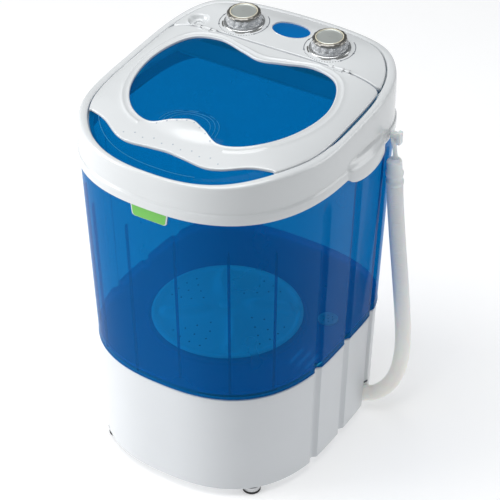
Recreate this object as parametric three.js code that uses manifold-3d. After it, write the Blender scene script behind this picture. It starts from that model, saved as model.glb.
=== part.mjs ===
// A small single-tub washing machine, in millimetres, +Z up, front towards -Y.
// The origin is on the floor, under the middle of the machine.
import * as THREE from 'three';
import { mergeVertices } from 'three/addons/utils/BufferGeometryUtils.js';
import { ParametricGeometry } from 'three/addons/geometries/ParametricGeometry.js';
import Module from 'manifold-3d';

const wasm = await Module();
wasm.setup();

// ---- driving dimensions ------------------------------------------------------------------
const GAP = 0.35;                 // clearance between pieces that touch
const HALF_WIDTH = 176.5;         // of the collar, the widest moulding
const WIDEST_Y = -7;              // where the plan is widest
const FRONT_DEPTH = 192;          // from the widest line to the front
const REAR_DEPTH = 206;           // from the widest line to the rear
const FRONT_POWER = 2.5;          // superellipse powers of the plan
const REAR_POWER = { x: 2.5, y: 5 };
const SEAM = { halfWidth: 161.5, front: 183.3, rear: 193, power: 2.4 };   // lid and panel opening
const DRAFT_CENTRE_Y = 70;        // the mouldings taper towards this line

const BASE_BOTTOM = 13;
const BASE_TOP = 174.6;
const TUB_BOTTOM = BASE_TOP + 0.6;
const COLLAR_BOTTOM = 459;
const TUB_TOP = 478;
const SCALE_BASE_BOTTOM = 0.910;
const SCALE_BASE_TOP = 0.9325;
const SCALE_TUB_BOTTOM = 0.935;
const SCALE_TUB_TOP = 0.988;
const WALL = 3;

const GROOVES_Y = [-55, 24, 103]; // upright grooves down each side
const GROOVE_HALF = 9;
const GROOVE_DEPTH = 5.5;
const GROOVE_END = 447;           // where the grooves fade out under the collar

const TOP_FRONT_Z = 508;          // top surface at the front edge
const TOP_SLOPE = 0.086;          // rise per millimetre towards the rear
const TOP_CROWN = 10;             // how far the middle stands above the edges
const SIDE_DROP = 5;
const CROWN_X = 160;

const HINGE = { y: 95, z: 542.4, gap: 0.8, x: 100, pinR: 1.4 };
const DRIVE = { x: 0, y: -13 };   // pulsator axis
const MOTOR = { x: 0, y: 95 };    // motor axis
const PULLEY_Z = 66;
const PULLEY_HEIGHT = 14;
const DRIVE_PULLEY_R = 70;
const PULLEY_RATIO = 3.75;
const MOTOR_PULLEY_R = DRIVE_PULLEY_R / PULLEY_RATIO;
const KNOB = { x: 65, y: 131 };
const INLET = { x: -124, y: 111, r: 12.6 };
const LENS = { y: 143, x: 27, across: 17 };
const FOOT = { x: 110, front: -126, rear: 146 };
const GRIP = { y: 36, half: 48 };
const HOSE_R = 11.2;
const GLAND = { x: -70, y: 187.6, z: 60 };
const DRAIN = { x: 122, y: 50 };

// ---- looks -------------------------------------------------------------------------------
const paint = (color, roughness, metalness = 0, opacity = 1) => new THREE.MeshStandardMaterial(
  { color, roughness, metalness, opacity, transparent: opacity < 1 });
const WHITE = paint(0xeef1f3, 0.25);
const BLUE = paint(0x0b5fa8, 0.12, 0, 0.55);
const GREEN = paint(0x52b33a, 0.3);
const SILVER = paint(0xc9c6b8, 0.3, 0.9);
const CLEAR = paint(0xe6ecee, 0.1, 0.2, 0.5);
const STEEL = paint(0xa9adb0, 0.35, 1);
const RUBBER = paint(0x1d1e20, 0.8);
const HOSE = paint(0xdfe6ea, 0.45, 0, 0.85);
const DARK = paint(0x2c3138, 0.5);
const CREAM = paint(0xe4e0d2, 0.45);

// ---- plan and top surface ----------------------------------------------------------------
const smooth = (low, high, t) => THREE.MathUtils.smoothstep(t, low, high);

function outlineRadius(angle, halfWidth, front, rear, power) {
  const c = Math.abs(Math.cos(angle));
  const s = Math.abs(Math.sin(angle));
  const forward = Math.sin(angle) < 0;
  const depth = forward ? front : rear;
  const px = forward ? power : REAR_POWER.x;
  const py = forward ? power : REAR_POWER.y;
  let low = 0;
  let high = 400;
  for (let i = 0; i < 40; i += 1) {
    const mid = (low + high) / 2;
    const inside = (mid * c / halfWidth) ** px + (mid * s / depth) ** py < 1;
    if (inside) low = mid; else high = mid;
  }
  return low;
}

function outerPoint(angle, scale = 1, inset = 0, groove = 0) {
  let r = outlineRadius(angle, HALF_WIDTH - inset, FRONT_DEPTH - inset, REAR_DEPTH - inset, FRONT_POWER);
  const sideY = WIDEST_Y + r * Math.sin(angle);
  for (const y of GROOVES_Y) {
    const across = Math.abs(sideY - y) / GROOVE_HALF;
    if (across < 1 && groove > 0) r -= groove * Math.cos(across * Math.PI / 2);
  }
  const y = WIDEST_Y + r * Math.sin(angle);
  return new THREE.Vector2(r * Math.cos(angle) * scale, DRAFT_CENTRE_Y + (y - DRAFT_CENTRE_Y) * scale);
}

function seamPoint(angle, inset = 0) {
  const r = outlineRadius(angle, SEAM.halfWidth - inset, SEAM.front - inset, SEAM.rear - inset, SEAM.power);
  return new THREE.Vector2(r * Math.cos(angle), WIDEST_Y + r * Math.sin(angle));
}

function topZ(x, y) {
  const side = Math.min(Math.abs(x) / CROWN_X, 1.02) ** 6;
  const along = smooth(-190, -90, y) * (1 - 0.85 * smooth(150, 195, y));
  return TOP_FRONT_Z + TOP_SLOPE * (y + 199) + TOP_CROWN * along * (1 - side) - SIDE_DROP * side;
}

// Angles round the plan, with extra ones across the grooves of both sides.
function planAngles(count, grooved) {
  const angles = [];
  for (let i = 0; i < count; i += 1) angles.push(2 * Math.PI * i / count - Math.PI);
  if (!grooved) return angles;
  const spans = GROOVES_Y.map((y) => [y - GROOVE_HALF, y - 4.5, y, y + 4.5, y + GROOVE_HALF].map((at) => {
    let angle = 0;
    for (let i = 0; i < 30; i += 1) {
      const r = outlineRadius(angle, HALF_WIDTH, FRONT_DEPTH, REAR_DEPTH, FRONT_POWER);
      angle = Math.asin(THREE.MathUtils.clamp((at - WIDEST_Y) / r, -1, 1));
    }
    return angle;
  }));
  const kept = angles.filter((a) => !spans.some((span) => [a, Math.PI - a, -Math.PI - a].some(
    (b) => b > span[0] - 0.02 && b < span[4] + 0.02)));
  for (const span of spans) {
    for (const a of span) kept.push(a, a > 0 ? Math.PI - a : -Math.PI - a);
  }
  return kept.sort((a, b) => a - b);
}
const PLAIN = planAngles(64, false);
const GROOVED = planAngles(60, true);

// ---- solids ------------------------------------------------------------------------------
function cleaned(geometry) {
  const bare = new THREE.BufferGeometry();
  bare.setAttribute('position', geometry.attributes.position.clone());
  if (geometry.index) bare.setIndex(geometry.index.clone());
  const merged = mergeVertices(bare, 1e-3);
  const index = merged.index.array;
  const kept = [];
  for (let i = 0; i < index.length; i += 3) {
    const [a, b, c] = [index[i], index[i + 1], index[i + 2]];
    if (a !== b && b !== c && a !== c) kept.push(a, b, c);
  }
  merged.setIndex(kept);
  return merged;
}

function volume(geometry) {
  const p = geometry.attributes.position;
  const index = geometry.index.array;
  const [a, b, c] = [new THREE.Vector3(), new THREE.Vector3(), new THREE.Vector3()];
  let sum = 0;
  for (let i = 0; i < index.length; i += 3) {
    a.fromBufferAttribute(p, index[i]);
    b.fromBufferAttribute(p, index[i + 1]);
    c.fromBufferAttribute(p, index[i + 2]);
    sum += a.dot(b.cross(c));
  }
  return sum / 6;
}

function solid(geometry) {
  const merged = cleaned(geometry);
  if (volume(merged) < 0) {
    const index = merged.index.array;
    for (let i = 0; i < index.length; i += 3) [index[i], index[i + 1]] = [index[i + 1], index[i]];
  }
  return new wasm.Manifold(new wasm.Mesh({
    numProp: 3,
    vertProperties: Float32Array.from(merged.attributes.position.array),
    triVerts: Uint32Array.from(merged.index.array),
  }));
}

function geometryOf(shape) {
  const mesh = shape.getMesh();
  const geometry = new THREE.BufferGeometry();
  geometry.setAttribute('position', new THREE.BufferAttribute(Float32Array.from(mesh.vertProperties), 3));
  geometry.setIndex(Array.from(mesh.triVerts));
  geometry.computeVertexNormals();
  return geometry;
}

const moved = (geometry, x, y, z) => geometry.translate(x, y, z);
const joined = (...shapes) => shapes.reduce((sum, shape) => sum.add(shape));
const without = (shape, ...tools) => tools.reduce((left, tool) => left.subtract(tool), shape);

function box(width, depth, height, x, y, z) {
  return solid(moved(new THREE.BoxGeometry(width, depth, height), x, y, z + height / 2));
}

// An upright cylinder standing on z.
function post(radius, height, x, y, z, sides = 24, topRadius = radius) {
  const geometry = new THREE.CylinderGeometry(topRadius, radius, height, sides).rotateX(Math.PI / 2);
  return solid(moved(geometry, x, y, z + height / 2));
}

function ellipsoid(rx, ry, rz, x, y, z, sides = 24) {
  return solid(moved(new THREE.SphereGeometry(1, sides, sides / 2).scale(rx, ry, rz), x, y, z));
}

// A turned piece: its profile is a closed loop of [radius, height] points.
function turned(profile, x, y, sides = 32) {
  if (profile.some(([r]) => r === 0)) {
    return new wasm.CrossSection([profile], 'NonZero').revolve(sides).translate([x, y, 0]);
  }
  const points = [...profile, profile[0]].map(([r, z]) => new THREE.Vector2(r, z));
  return solid(moved(new THREE.LatheGeometry(points, sides).rotateX(Math.PI / 2), x, y, 0));
}

function tube(path, radius, sides, steps) {
  const ring = new THREE.Shape();
  ring.absarc(0, 0, radius, 0, 2 * Math.PI);
  const section = new THREE.Shape(ring.getPoints(sides).slice(0, sides));
  return solid(new THREE.ExtrudeGeometry(section, { steps, extrudePath: path, bevelEnabled: false }));
}

function plate(points, thickness, z, holes = []) {
  const shape = new THREE.Shape(points);
  for (const hole of holes) shape.holes.push(new THREE.Path(hole));
  return solid(moved(new THREE.ExtrudeGeometry(shape, { depth: thickness, bevelEnabled: false }), 0, 0, z));
}

function circlePoints(x, y, radius, count = 20) {
  const points = [];
  for (let i = 0; i < count; i += 1) {
    const a = 2 * Math.PI * i / count;
    points.push(new THREE.Vector2(x + radius * Math.cos(a), y + radius * Math.sin(a)));
  }
  return points;
}

// A closed wall round the plan: each profile entry places one ring of points.
function wall(angles, profile) {
  const at = new THREE.Vector3();
  const place = (u, v, target) => {
    const angle = angles[Math.round(u * angles.length) % angles.length];
    profile[Math.round(v * profile.length) % profile.length](angle, at);
    target.copy(at);
  };
  return solid(new ParametricGeometry(place, angles.length, profile.length));
}

const outerRing = (z, scale, inset = 0, groove = 0) => (angle, at) => {
  const p = outerPoint(angle, scale, inset, groove);
  at.set(p.x, p.y, z);
};
const rimZ = (angle) => {
  const p = seamPoint(angle);
  return topZ(p.x, p.y);
};
const outerRimRing = (below, inset) => (angle, at) => {
  const p = outerPoint(angle, 1, inset);
  at.set(p.x, p.y, rimZ(angle) - below);
};
const seamRimRing = (below, inset) => (angle, at) => {
  const p = seamPoint(angle, inset);
  at.set(p.x, p.y, rimZ(angle) - below);
};
const hubRing = (z, radius) => (angle, at) => {
  at.set(DRIVE.x + radius * Math.cos(angle), DRIVE.y + radius * Math.sin(angle), z);
};

// A crowned plate that follows the top surface, from an outline that its centre can see all of.
// Both faces are divided the same way, so plates laid over each other keep an even gap.
function topPlate(outline, centre, below, thickness, reaches = [0.45, 0.75, 0.9, 1]) {
  const count = outline.length;
  const positions = [];
  for (const depth of [below, below + thickness]) {
    positions.push(centre.x, centre.y, topZ(centre.x, centre.y) - depth);
    for (const reach of reaches) {
      for (const point of outline) {
        const x = centre.x + (point.x - centre.x) * reach;
        const y = centre.y + (point.y - centre.y) * reach;
        positions.push(x, y, topZ(x, y) - depth);
      }
    }
  }
  const layer = 1 + reaches.length * count;
  const last = reaches.length - 1;
  const at = (face, ring, i) => face * layer + 1 + ring * count + i % count;
  const index = [];
  for (let i = 0; i < count; i += 1) {
    for (const face of [0, 1]) {
      const triangle = (p, q, r) => (face ? index.push(p, r, q) : index.push(p, q, r));
      triangle(face * layer, at(face, 0, i), at(face, 0, i + 1));
      for (let ring = 1; ring <= last; ring += 1) {
        triangle(at(face, ring - 1, i), at(face, ring, i), at(face, ring, i + 1));
        triangle(at(face, ring - 1, i), at(face, ring, i + 1), at(face, ring - 1, i + 1));
      }
    }
    index.push(at(0, last, i), at(1, last, i), at(1, last, i + 1));
    index.push(at(0, last, i), at(1, last, i + 1), at(0, last, i + 1));
  }
  const geometry = new THREE.BufferGeometry();
  geometry.setAttribute('position', new THREE.BufferAttribute(Float32Array.from(positions), 3));
  geometry.setIndex(index);
  return solid(geometry);
}

// The part of the seam outline in front of or behind a line across the machine.
function cutSeam(y, front, inset) {
  const points = PLAIN.map((a) => seamPoint(a, inset)).filter((p) => (front ? p.y < y - 6 : p.y > y + 6));
  const reach = Math.max(...points.map((p) => p.x)) - 3;
  for (const t of [-1, -0.6, -0.2, 0.2, 0.6, 1]) points.push(new THREE.Vector2(t * reach, y));
  const middle = new THREE.Vector2(0, front ? y - 100 : y + 45);
  const turn = (p) => Math.atan2(p.y - middle.y, p.x - middle.x);
  return points.sort((p, q) => turn(p) - turn(q));
}

function mirroredSpline(half, count) {
  const left = half.filter(([x]) => x > 0).map(([x, y]) => [-x, y]).reverse();
  const points = [...half, ...left].map(([x, y]) => new THREE.Vector3(x, y, 0));
  const curve = new THREE.CatmullRomCurve3(points, true, 'centripetal');
  return curve.getSpacedPoints(count).slice(0, count).map((p) => new THREE.Vector2(p.x, p.y));
}

// ---- the machine -------------------------------------------------------------------------
const machine = new THREE.Group();
function add(name, shape, material) {
  const mesh = new THREE.Mesh(geometryOf(shape), material);
  mesh.name = name;
  machine.add(mesh);
}

const TOP_TILT = Math.atan(TOP_SLOPE);
// Turns an upright shape to stand square on the sloping panel at a point of it.
function onPanel(shape, x, y, above = 0) {
  const tilt = THREE.MathUtils.radToDeg(TOP_TILT);
  return shape.rotate([tilt, 0, 0]).translate([x, y, topZ(x, y) + above]);
}

// Hose: leaves the right side near the rear, turns up and hangs on a clip under the collar.
const HOSE_OUT = new THREE.Vector3(0.906, 0.423, 0);
const HOSE_EXIT = new THREE.Vector3(158.5, 104.6, 29);
const HOSE_ROUTE = [
  [158.5, 104.6, 29], [164.8, 107.5, 29], [172.2, 111, 32], [183, 116.1, 42], [191.5, 120.2, 56],
  [197, 122.8, 74], [200.3, 124.4, 98], [201, 124.8, 124], [199.8, 124.1, 152], [197.3, 122.8, 184],
  [194.4, 120.8, 218], [191.3, 117.8, 256], [188.6, 114, 294], [186.4, 109.8, 332], [184.8, 105.6, 368],
  [184, 102.6, 398],
].map(([x, y, z]) => new THREE.Vector3(x, y, z));
const HOSE_TOP = HOSE_ROUTE[HOSE_ROUTE.length - 1];

function makeBase() {
  const skirt = wall(GROOVED, [
    outerRing(BASE_BOTTOM, SCALE_BASE_BOTTOM, 0, GROOVE_DEPTH),
    outerRing(BASE_TOP - 2, SCALE_BASE_TOP, 0, GROOVE_DEPTH),
    outerRing(BASE_TOP, SCALE_BASE_TOP, 0.8, GROOVE_DEPTH),
    outerRing(BASE_TOP, SCALE_BASE_TOP, WALL, GROOVE_DEPTH),
    outerRing(BASE_BOTTOM, SCALE_BASE_BOTTOM, WALL, GROOVE_DEPTH),
  ]);
  const hosePort = post(HOSE_R + 1.2, 40, 0, 0, -20, 24).rotate([0, 90, 25])
    .translate([HOSE_EXIT.x - 4, HOSE_EXIT.y - 2, HOSE_EXIT.z]);
  const glandPort = post(7, 30, 0, 0, -15, 20).rotate([90, 0, 0]).translate([GLAND.x, GLAND.y, GLAND.z]);
  add('base_housing', without(skirt, hosePort, glandPort), WHITE);

  const outline = GROOVED.map((a) => outerPoint(a, SCALE_BASE_BOTTOM, WALL + 0.8, GROOVE_DEPTH));
  const vents = [];
  for (const side of [-1, 1]) {
    for (let i = 0; i < 5; i += 1) vents.push(box(6, 40, 20, side * (24 + 13 * i), 138, BASE_BOTTOM - 5));
  }
  add('base_plate', without(plate(outline, 2.6, BASE_BOTTOM), ...vents), WHITE);

  for (const [side, sign] of [['left', -1], ['right', 1]]) {
    for (const end of ['front', 'rear']) {
      const x = sign * FOOT.x;
      const y = FOOT[end];
      add(`foot_${end}_${side}`, post(12, 8.3, x, y, BASE_BOTTOM - GAP - 8.3, 20, 13.5), STEEL);
      const pad = turned([[0, 0], [11, 0], [12.5, 1.5], [12.5, 4], [0, 4]], x, y, 20);
      add(`foot_pad_${end}_${side}`, pad, RUBBER);
    }
  }
}

function makeTub() {
  const level = (z) => THREE.MathUtils.mapLinear(
    z, TUB_BOTTOM, COLLAR_BOTTOM, SCALE_TUB_BOTTOM, SCALE_TUB_TOP);
  const fade = GROOVE_END - 12;
  const shoulder = COLLAR_BOTTOM - GAP;
  const floorTop = TUB_BOTTOM + 4.3;
  const shell = wall(GROOVED, [
    outerRing(TUB_BOTTOM, SCALE_TUB_BOTTOM, 0, GROOVE_DEPTH),
    outerRing(fade, level(fade), 0, GROOVE_DEPTH),
    outerRing(GROOVE_END, level(GROOVE_END)),
    outerRing(shoulder, SCALE_TUB_TOP),
    outerRing(shoulder, SCALE_TUB_TOP, 3.2),
    outerRing(TUB_TOP, SCALE_TUB_TOP, 3.2),
    outerRing(TUB_TOP, SCALE_TUB_TOP, 6.2),
    outerRing(GROOVE_END, level(GROOVE_END), 6),
    outerRing(fade, level(fade), WALL, GROOVE_DEPTH),
    outerRing(floorTop, SCALE_TUB_BOTTOM, WALL, GROOVE_DEPTH),
    hubRing(floorTop, 9),
    hubRing(TUB_BOTTOM + 0.8, 9),
    outerRing(TUB_BOTTOM + 0.8, SCALE_TUB_BOTTOM, 6, GROOVE_DEPTH),
    outerRing(TUB_BOTTOM, SCALE_TUB_BOTTOM, 5.4, GROOVE_DEPTH),
  ]);
  add('tub', without(shell, post(10, 20, DRAIN.x, DRAIN.y, 170, 20)), BLUE);
  const holes = [circlePoints(DRAIN.x, DRAIN.y, 1.6, 6)];
  for (let i = 0; i < 6; i += 1) {
    const a = Math.PI * i / 3;
    holes.push(circlePoints(DRAIN.x + 7 * Math.cos(a), DRAIN.y + 7 * Math.sin(a), 1.6, 6));
  }
  add('drain_strainer', plate(circlePoints(DRAIN.x, DRAIN.y, 14, 24), 2, floorTop + GAP, holes), WHITE);
}

function makeCollar() {
  const body = wall(PLAIN, [
    outerRing(COLLAR_BOTTOM, 1, 0),
    outerRing(COLLAR_BOTTOM + 12, 1, 0),
    outerRing(COLLAR_BOTTOM + 14.5, 1, 1.8),
    outerRimRing(13, 3),
    outerRimRing(5, 4.4),
    outerRimRing(1.4, 6.4),
    seamRimRing(-0.6, -2),
    seamRimRing(0.6, -0.7),
    seamRimRing(7.6, -0.7),
    seamRimRing(7.6, 6),
    seamRimRing(10.4, 6),
    outerRimRing(14, 6.6),
    outerRing(COLLAR_BOTTOM + 26, 1, 6.4),
    outerRing(COLLAR_BOTTOM + 21, 1, 3.8),
    outerRing(COLLAR_BOTTOM, 1, 3.8),
  ]);
  const plug = plate(PLAIN.map((a) => outerPoint(a, 1, 1.6)), 90, 420);
  const blisters = [-1, 1].map((s) => ellipsoid(9.5, GRIP.half, 22, s * 174, GRIP.y, COLLAR_BOTTOM + 6, 18)
    .subtract(joined(plug, box(60, 120, 20, s * 174, GRIP.y, COLLAR_BOTTOM - 32))));
  const pockets = [-1, 1].map((s) => ellipsoid(7, GRIP.half - 6, 20, s * 174, GRIP.y, COLLAR_BOTTOM - 5, 18));
  const notch = ellipsoid(16.5, 64, 30, 149.5, 29, 528, 22);
  add('top_collar', without(joined(body, ...blisters), ...pockets, notch), WHITE);
}

// Outline of the clear pane in the lid, right half, from rear to front.
const PANE = [[0, 63.5], [30, 71], [70, 81], [108, 69], [130, 16], [117, -56], [84, -101], [50, -113.5],
  [20, -101], [0, -93.5]];
// Wavy rear edge of the front scoop, right half.
const SCOOP = [[0, -149.5], [25, -151.5], [57, -154], [76, -149], [107, -131], [134, -121], [190, -121]];

// A cylinder lying along the lid's hinge line.
function across(radius, length, x) {
  return post(radius, length, 0, 0, -length / 2, 16).rotate([0, 90, 0]).translate([x, HINGE.y, HINGE.z]);
}

function makeLid() {
  const outline = cutSeam(HINGE.y - HINGE.gap, true, 0.8);
  const middle = new THREE.Vector2(0, HINGE.y - 100);
  const blank = topPlate(outline, middle, 0, 3);
  const paneHole = plate(mirroredSpline(PANE, 44), 80, 490);
  const scoopLine = [...SCOOP.slice(1).map(([x, y]) => [-x, y]).reverse(), ...SCOOP]
    .map(([x, y]) => new THREE.Vector2(x, y));
  const scoopCurve = new THREE.SplineCurve(scoopLine).getPoints(36);
  const corners = [new THREE.Vector2(190, -230), new THREE.Vector2(-190, -230)];
  const scoopHole = plate([...scoopCurve, ...corners], 80, 470);
  const bump = ellipsoid(46, 15, 8, 0, -111, topZ(0, -111) - 2, 24)
    .intersect(box(120, 60, 20, 0, -111, topZ(0, -111) - 2.4));
  const knuckles = [-1, 1].map((s) => across(2.6, 12, s * HINGE.x));
  const bores = [-1, 1].map((s) => across(HINGE.pinR + 0.05, 20, s * HINGE.x));
  const relief = [-1, 1].map((s) => box(36, 8, 12, s * HINGE.x, HINGE.y, HINGE.z - 5));
  const arms = [-1, 1].map((s) => box(12, 5, 2.6, s * HINGE.x, HINGE.y - 3.4, HINGE.z - 1.5));
  const frame = without(blank, paneHole, scoopHole, ...relief);
  const grip = without(bump, topPlate(outline, middle, 3, 14));
  add('lid_frame', without(joined(frame, grip, ...knuckles, ...arms), ...bores), WHITE);
  const pane = topPlate(outline, middle, 3 + GAP, 2.6);
  add('lid_pane', pane.subtract(box(400, 40, 80, 0, HINGE.y + 8, 490)), BLUE);
  add('hinge_pin_left', across(HINGE.pinR, 32, -HINGE.x), STEEL);
  add('hinge_pin_right', across(HINGE.pinR, 32, HINGE.x), STEEL);
}

function lensPoints(grow) {
  const points = [];
  for (let i = 0; i < 40; i += 1) {
    const a = (i / 40) * Math.PI * 2;
    points.push(new THREE.Vector2((LENS.x + grow) * Math.cos(a), LENS.y + (LENS.across + grow) * Math.sin(a)));
  }
  return points;
}

function makePanel() {
  const outline = cutSeam(HINGE.y + 1.2, false, 0.8);
  const middle = new THREE.Vector2(0, HINGE.y + 45);
  const blank = topPlate(outline, middle, 0, 4);
  const relief = [-1, 1].map((s) => box(36, 7, 12, s * HINGE.x, HINGE.y, HINGE.z - 5));
  const lugs = [-12, 12].flatMap((off) => [-1, 1].map((s) => (
    box(5, 8.4, 7, s * HINGE.x + off, HINGE.y + 1.7, 538))));
  const lugBores = [-1, 1].map((s) => across(HINGE.pinR + 0.3, 40, s * HINGE.x));
  const shaftHoles = [-1, 1].map((s) => post(6, 60, s * KNOB.x, KNOB.y, 515, 20));
  const inletHole = post(INLET.r + 0.8, 60, INLET.x, INLET.y, 510, 28);
  const lensHole = plate(lensPoints(0.4), 60, 515);
  const shell = without(blank, ...relief, ...shaftHoles, inletHole, lensHole);
  const panel = without(joined(shell, ...lugs), ...lugBores);
  add('control_panel', panel, WHITE);
  const lensBlank = topPlate(circlePoints(0, LENS.y, 44, 28), new THREE.Vector2(0, LENS.y), -0.6, 4);
  add('panel_lens', lensBlank.intersect(plate(lensPoints(0), 60, 515)), BLUE);
  const lip = INLET.r - 2;
  const cup = [[INLET.r, 1], [INLET.r, -9], [3, -9], [3, -6.4], [9, -6.4], [lip, -1], [lip, 1]];
  add('water_inlet', onPanel(turned(cup, 0, 0, 28), INLET.x, INLET.y, -0.6), WHITE);
  const sill = cutSeam(HINGE.y - 4, false, 10);
  const floor = plate(sill, 2.4, 496);
  const front = box(290, 2.4, 26, 0, HINGE.y - 1.8, 496.5);
  add('control_tray', joined(floor, front), WHITE);
}

function makeKnob(name, x) {
  const y = KNOB.y;
  add(`${name}_timer`, onPanel(joined(box(46, 46, 26, 0, 0, -33), post(5, 5, 0, 0, -8, 16)), x, y), CREAM);
  const scale = turned([[24.6, 0.35], [27.4, 0.35], [27, 2], [25, 2]], 0, 0, 32);
  add(`${name}_dial_ring`, onPanel(scale, x, y), SILVER);
  add(`${name}_spindle`, onPanel(post(3, 16, 0, 0, -2.6, 16), x, y), STEEL);
  const skirt = turned([[3.4, 0.8], [24, 0.8], [24, 3.4], [21.5, 14.4], [3.4, 14.4]], 0, 0, 36);
  add(`${name}_knob_skirt`, onPanel(skirt, x, y), CLEAR);
  const rim = turned([[18.6, 14.8], [22.4, 14.8], [22.8, 16.6], [21.6, 19.4], [18.6, 19.8]], 0, 0, 36);
  add(`${name}_knob_rim`, onPanel(rim, x, y), SILVER);
  const cap = turned([[0, 14.8], [18.2, 14.8], [18.2, 18.8], [16.8, 19.4], [0, 19.4]], 0, 0, 32);
  add(`${name}_knob_cap`, onPanel(cap, x, y), SILVER);
}

function pulleyProfile(radius, bore) {
  const z = PULLEY_Z;
  const top = z + PULLEY_HEIGHT;
  return [[bore, z], [radius + 3, z], [radius + 3, z + 2], [radius, z + 2.6], [radius, top - 2.6],
    [radius + 3, top - 2], [radius + 3, top], [bore, top]];
}

function beltOutline(grow) {
  const points = [];
  const span = MOTOR.y - DRIVE.y;
  const lean = Math.asin((DRIVE_PULLEY_R - MOTOR_PULLEY_R) / span);
  const arcs = [[DRIVE.y, DRIVE_PULLEY_R + grow, Math.PI - lean, 2 * Math.PI + lean, 28],
    [MOTOR.y, MOTOR_PULLEY_R + grow, lean, Math.PI - lean, 12]];
  for (const [y, r, from, to, steps] of arcs) {
    for (let i = 0; i <= steps; i += 1) {
      const a = from + (to - from) * i / steps;
      points.push(new THREE.Vector2(r * Math.cos(a), y + r * Math.sin(a)));
    }
  }
  return points;
}

function makeDrive() {
  const { x, y } = DRIVE;
  const disc = turned([[6.4, 184.4], [88, 184.4], [100, 183.4], [104, 184.6], [104, 187], [98, 186.6],
    [60, 188.4], [26, 193], [14, 196.5], [6.4, 196.5]], x, y, 40);
  const paddles = [0, 1, 2, 3].map((i) => ellipsoid(38, 8, 17, 56, 0, 186, 14)
    .intersect(box(90, 30, 30, 56, 0, 185.4)).rotate([0, 0, 45 + 90 * i]).translate([x, y, 0]));
  add('pulsator', joined(disc, ...paddles), WHITE);
  const capProfile = [[0, 197.4], [12, 197], [10, 200], [5, 202], [0, 202.4]];
  add('pulsator_cap', turned(capProfile, x, y, 24), WHITE);
  add('drive_shaft', post(6, 196.2 - 58, x, y, 58, 24), STEEL);
  add('drive_pulley', turned(pulleyProfile(DRIVE_PULLEY_R, 6.35), x, y, 36), DARK);
  add('shaft_seal', turned([[6.4, 180], [16, 180], [14, 183], [6.4, 183.4]], x, y, 28), RUBBER);
  const housing = [[6.5, 100], [20, 100], [24, 104], [24, 160], [46, 168], [46, 175.5], [6.5, 175.5]];
  add('bearing_housing', turned(housing, x, y, 32), CREAM);

  const m = MOTOR;
  add('motor_shaft', post(4, 110, m.x, m.y, 60, 20), STEEL);
  add('motor_pulley', turned(pulleyProfile(MOTOR_PULLEY_R, 4.35), m.x, m.y, 24), DARK);
  const can = [[4.5, 97], [30, 97], [46, 102], [48, 108], [48, 146], [46, 152], [28, 158], [12, 163],
    [4.5, 163]];
  add('motor', turned(can, m.x, m.y, 28), STEEL);
  const deck = without(box(140, 104, 2.6, m.x, m.y, 93.8), post(10, 10, m.x, m.y, 90, 20));
  const legs = [-1, 1].map((s) => box(3, 80, 80, m.x + s * 68.5, m.y, 95.4));
  add('motor_bracket', joined(deck, ...legs), STEEL);
  const outer = plate(beltOutline(4), 8, PULLEY_Z + 3);
  const inner = plate(beltOutline(GAP), 12, PULLEY_Z + 1);
  add('drive_belt', without(outer, inner), RUBBER);
  add('capacitor', post(17, 62, -112, 98, 17, 24), DARK);
  add('terminal_block', box(44, 16, 18, -40, 162, 17), CREAM);
}

function makeFittings() {
  const gland = turned([[0, -10], [6.5, -10], [6.5, 4.4], [11, 4.4], [10, 8], [4, 9], [0, 9]], 0, 0, 20)
    .rotate([-90, 0, 0]).translate([GLAND.x, GLAND.y - 3.4, GLAND.z]);
  add('cable_gland', gland, DARK);

  const trace = [
    new THREE.Vector3(DRAIN.x, DRAIN.y, TUB_BOTTOM + 0.3), new THREE.Vector3(DRAIN.x, DRAIN.y, 120),
    new THREE.Vector3(DRAIN.x + 2, DRAIN.y + 12, 70), new THREE.Vector3(DRAIN.x + 10, DRAIN.y + 40, 36),
    HOSE_EXIT.clone().addScaledVector(HOSE_OUT, -16), HOSE_EXIT.clone().addScaledVector(HOSE_OUT, -1.5),
  ];
  add('drain_pipe', tube(new THREE.CatmullRomCurve3(trace), 9, 12, 16), CREAM);

  const hosePath = new THREE.CatmullRomCurve3(HOSE_ROUTE);
  add('drain_hose', tube(hosePath, HOSE_R, 12, 44), HOSE);
  const end = hosePath.getTangent(1);
  const lean = new THREE.Quaternion().setFromUnitVectors(new THREE.Vector3(0, 0, 1), end);
  const turn = new THREE.Euler().setFromQuaternion(lean);
  const degrees = [turn.x, turn.y, turn.z].map((a) => THREE.MathUtils.radToDeg(a));
  const cuff = turned([[0, 0.4], [12, 0.4], [12.6, 4], [12.6, 10], [11.8, 11], [12.8, 14], [12.8, 20],
    [11.4, 22], [11.2, 38], [10, 41], [0, 41]], 0, 0, 24);
  add('hose_cuff', cuff.rotate(degrees).translate([HOSE_TOP.x, HOSE_TOP.y, HOSE_TOP.z]), HOSE);
  const strap = box(6, 2.2, 18.4, HOSE_TOP.x - 0.6, HOSE_TOP.y - 1.6, HOSE_TOP.z + 41.8);
  add('hose_strap', strap, HOSE);
}

function makeTrim() {
  const badge = new THREE.Shape();
  const half = 27;
  const round = 5;
  const top = COLLAR_BOTTOM - GAP;
  const low = top - 18;
  badge.moveTo(-half, top);
  badge.lineTo(-half + 1.5, low + round);
  badge.quadraticCurveTo(-half + 2, low, -half + 2 + round, low);
  badge.lineTo(half - 2 - round, low);
  badge.quadraticCurveTo(half - 2, low, half - 1.5, low + round);
  badge.lineTo(half, top);
  const body = new THREE.ExtrudeGeometry(badge, { depth: 1.8, bevelEnabled: false, curveSegments: 5 });
  add('front_badge', solid(body.rotateX(Math.PI / 2).translate(0, -196.3, 0)), GREEN);
  const clip = joined(box(14, 12, 9, 181.8, HOSE_TOP.y, COLLAR_BOTTOM),
    box(3, 12, 20, 188.3, HOSE_TOP.y, COLLAR_BOTTOM - 11));
  add('hose_clip', clip, WHITE);
}

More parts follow.
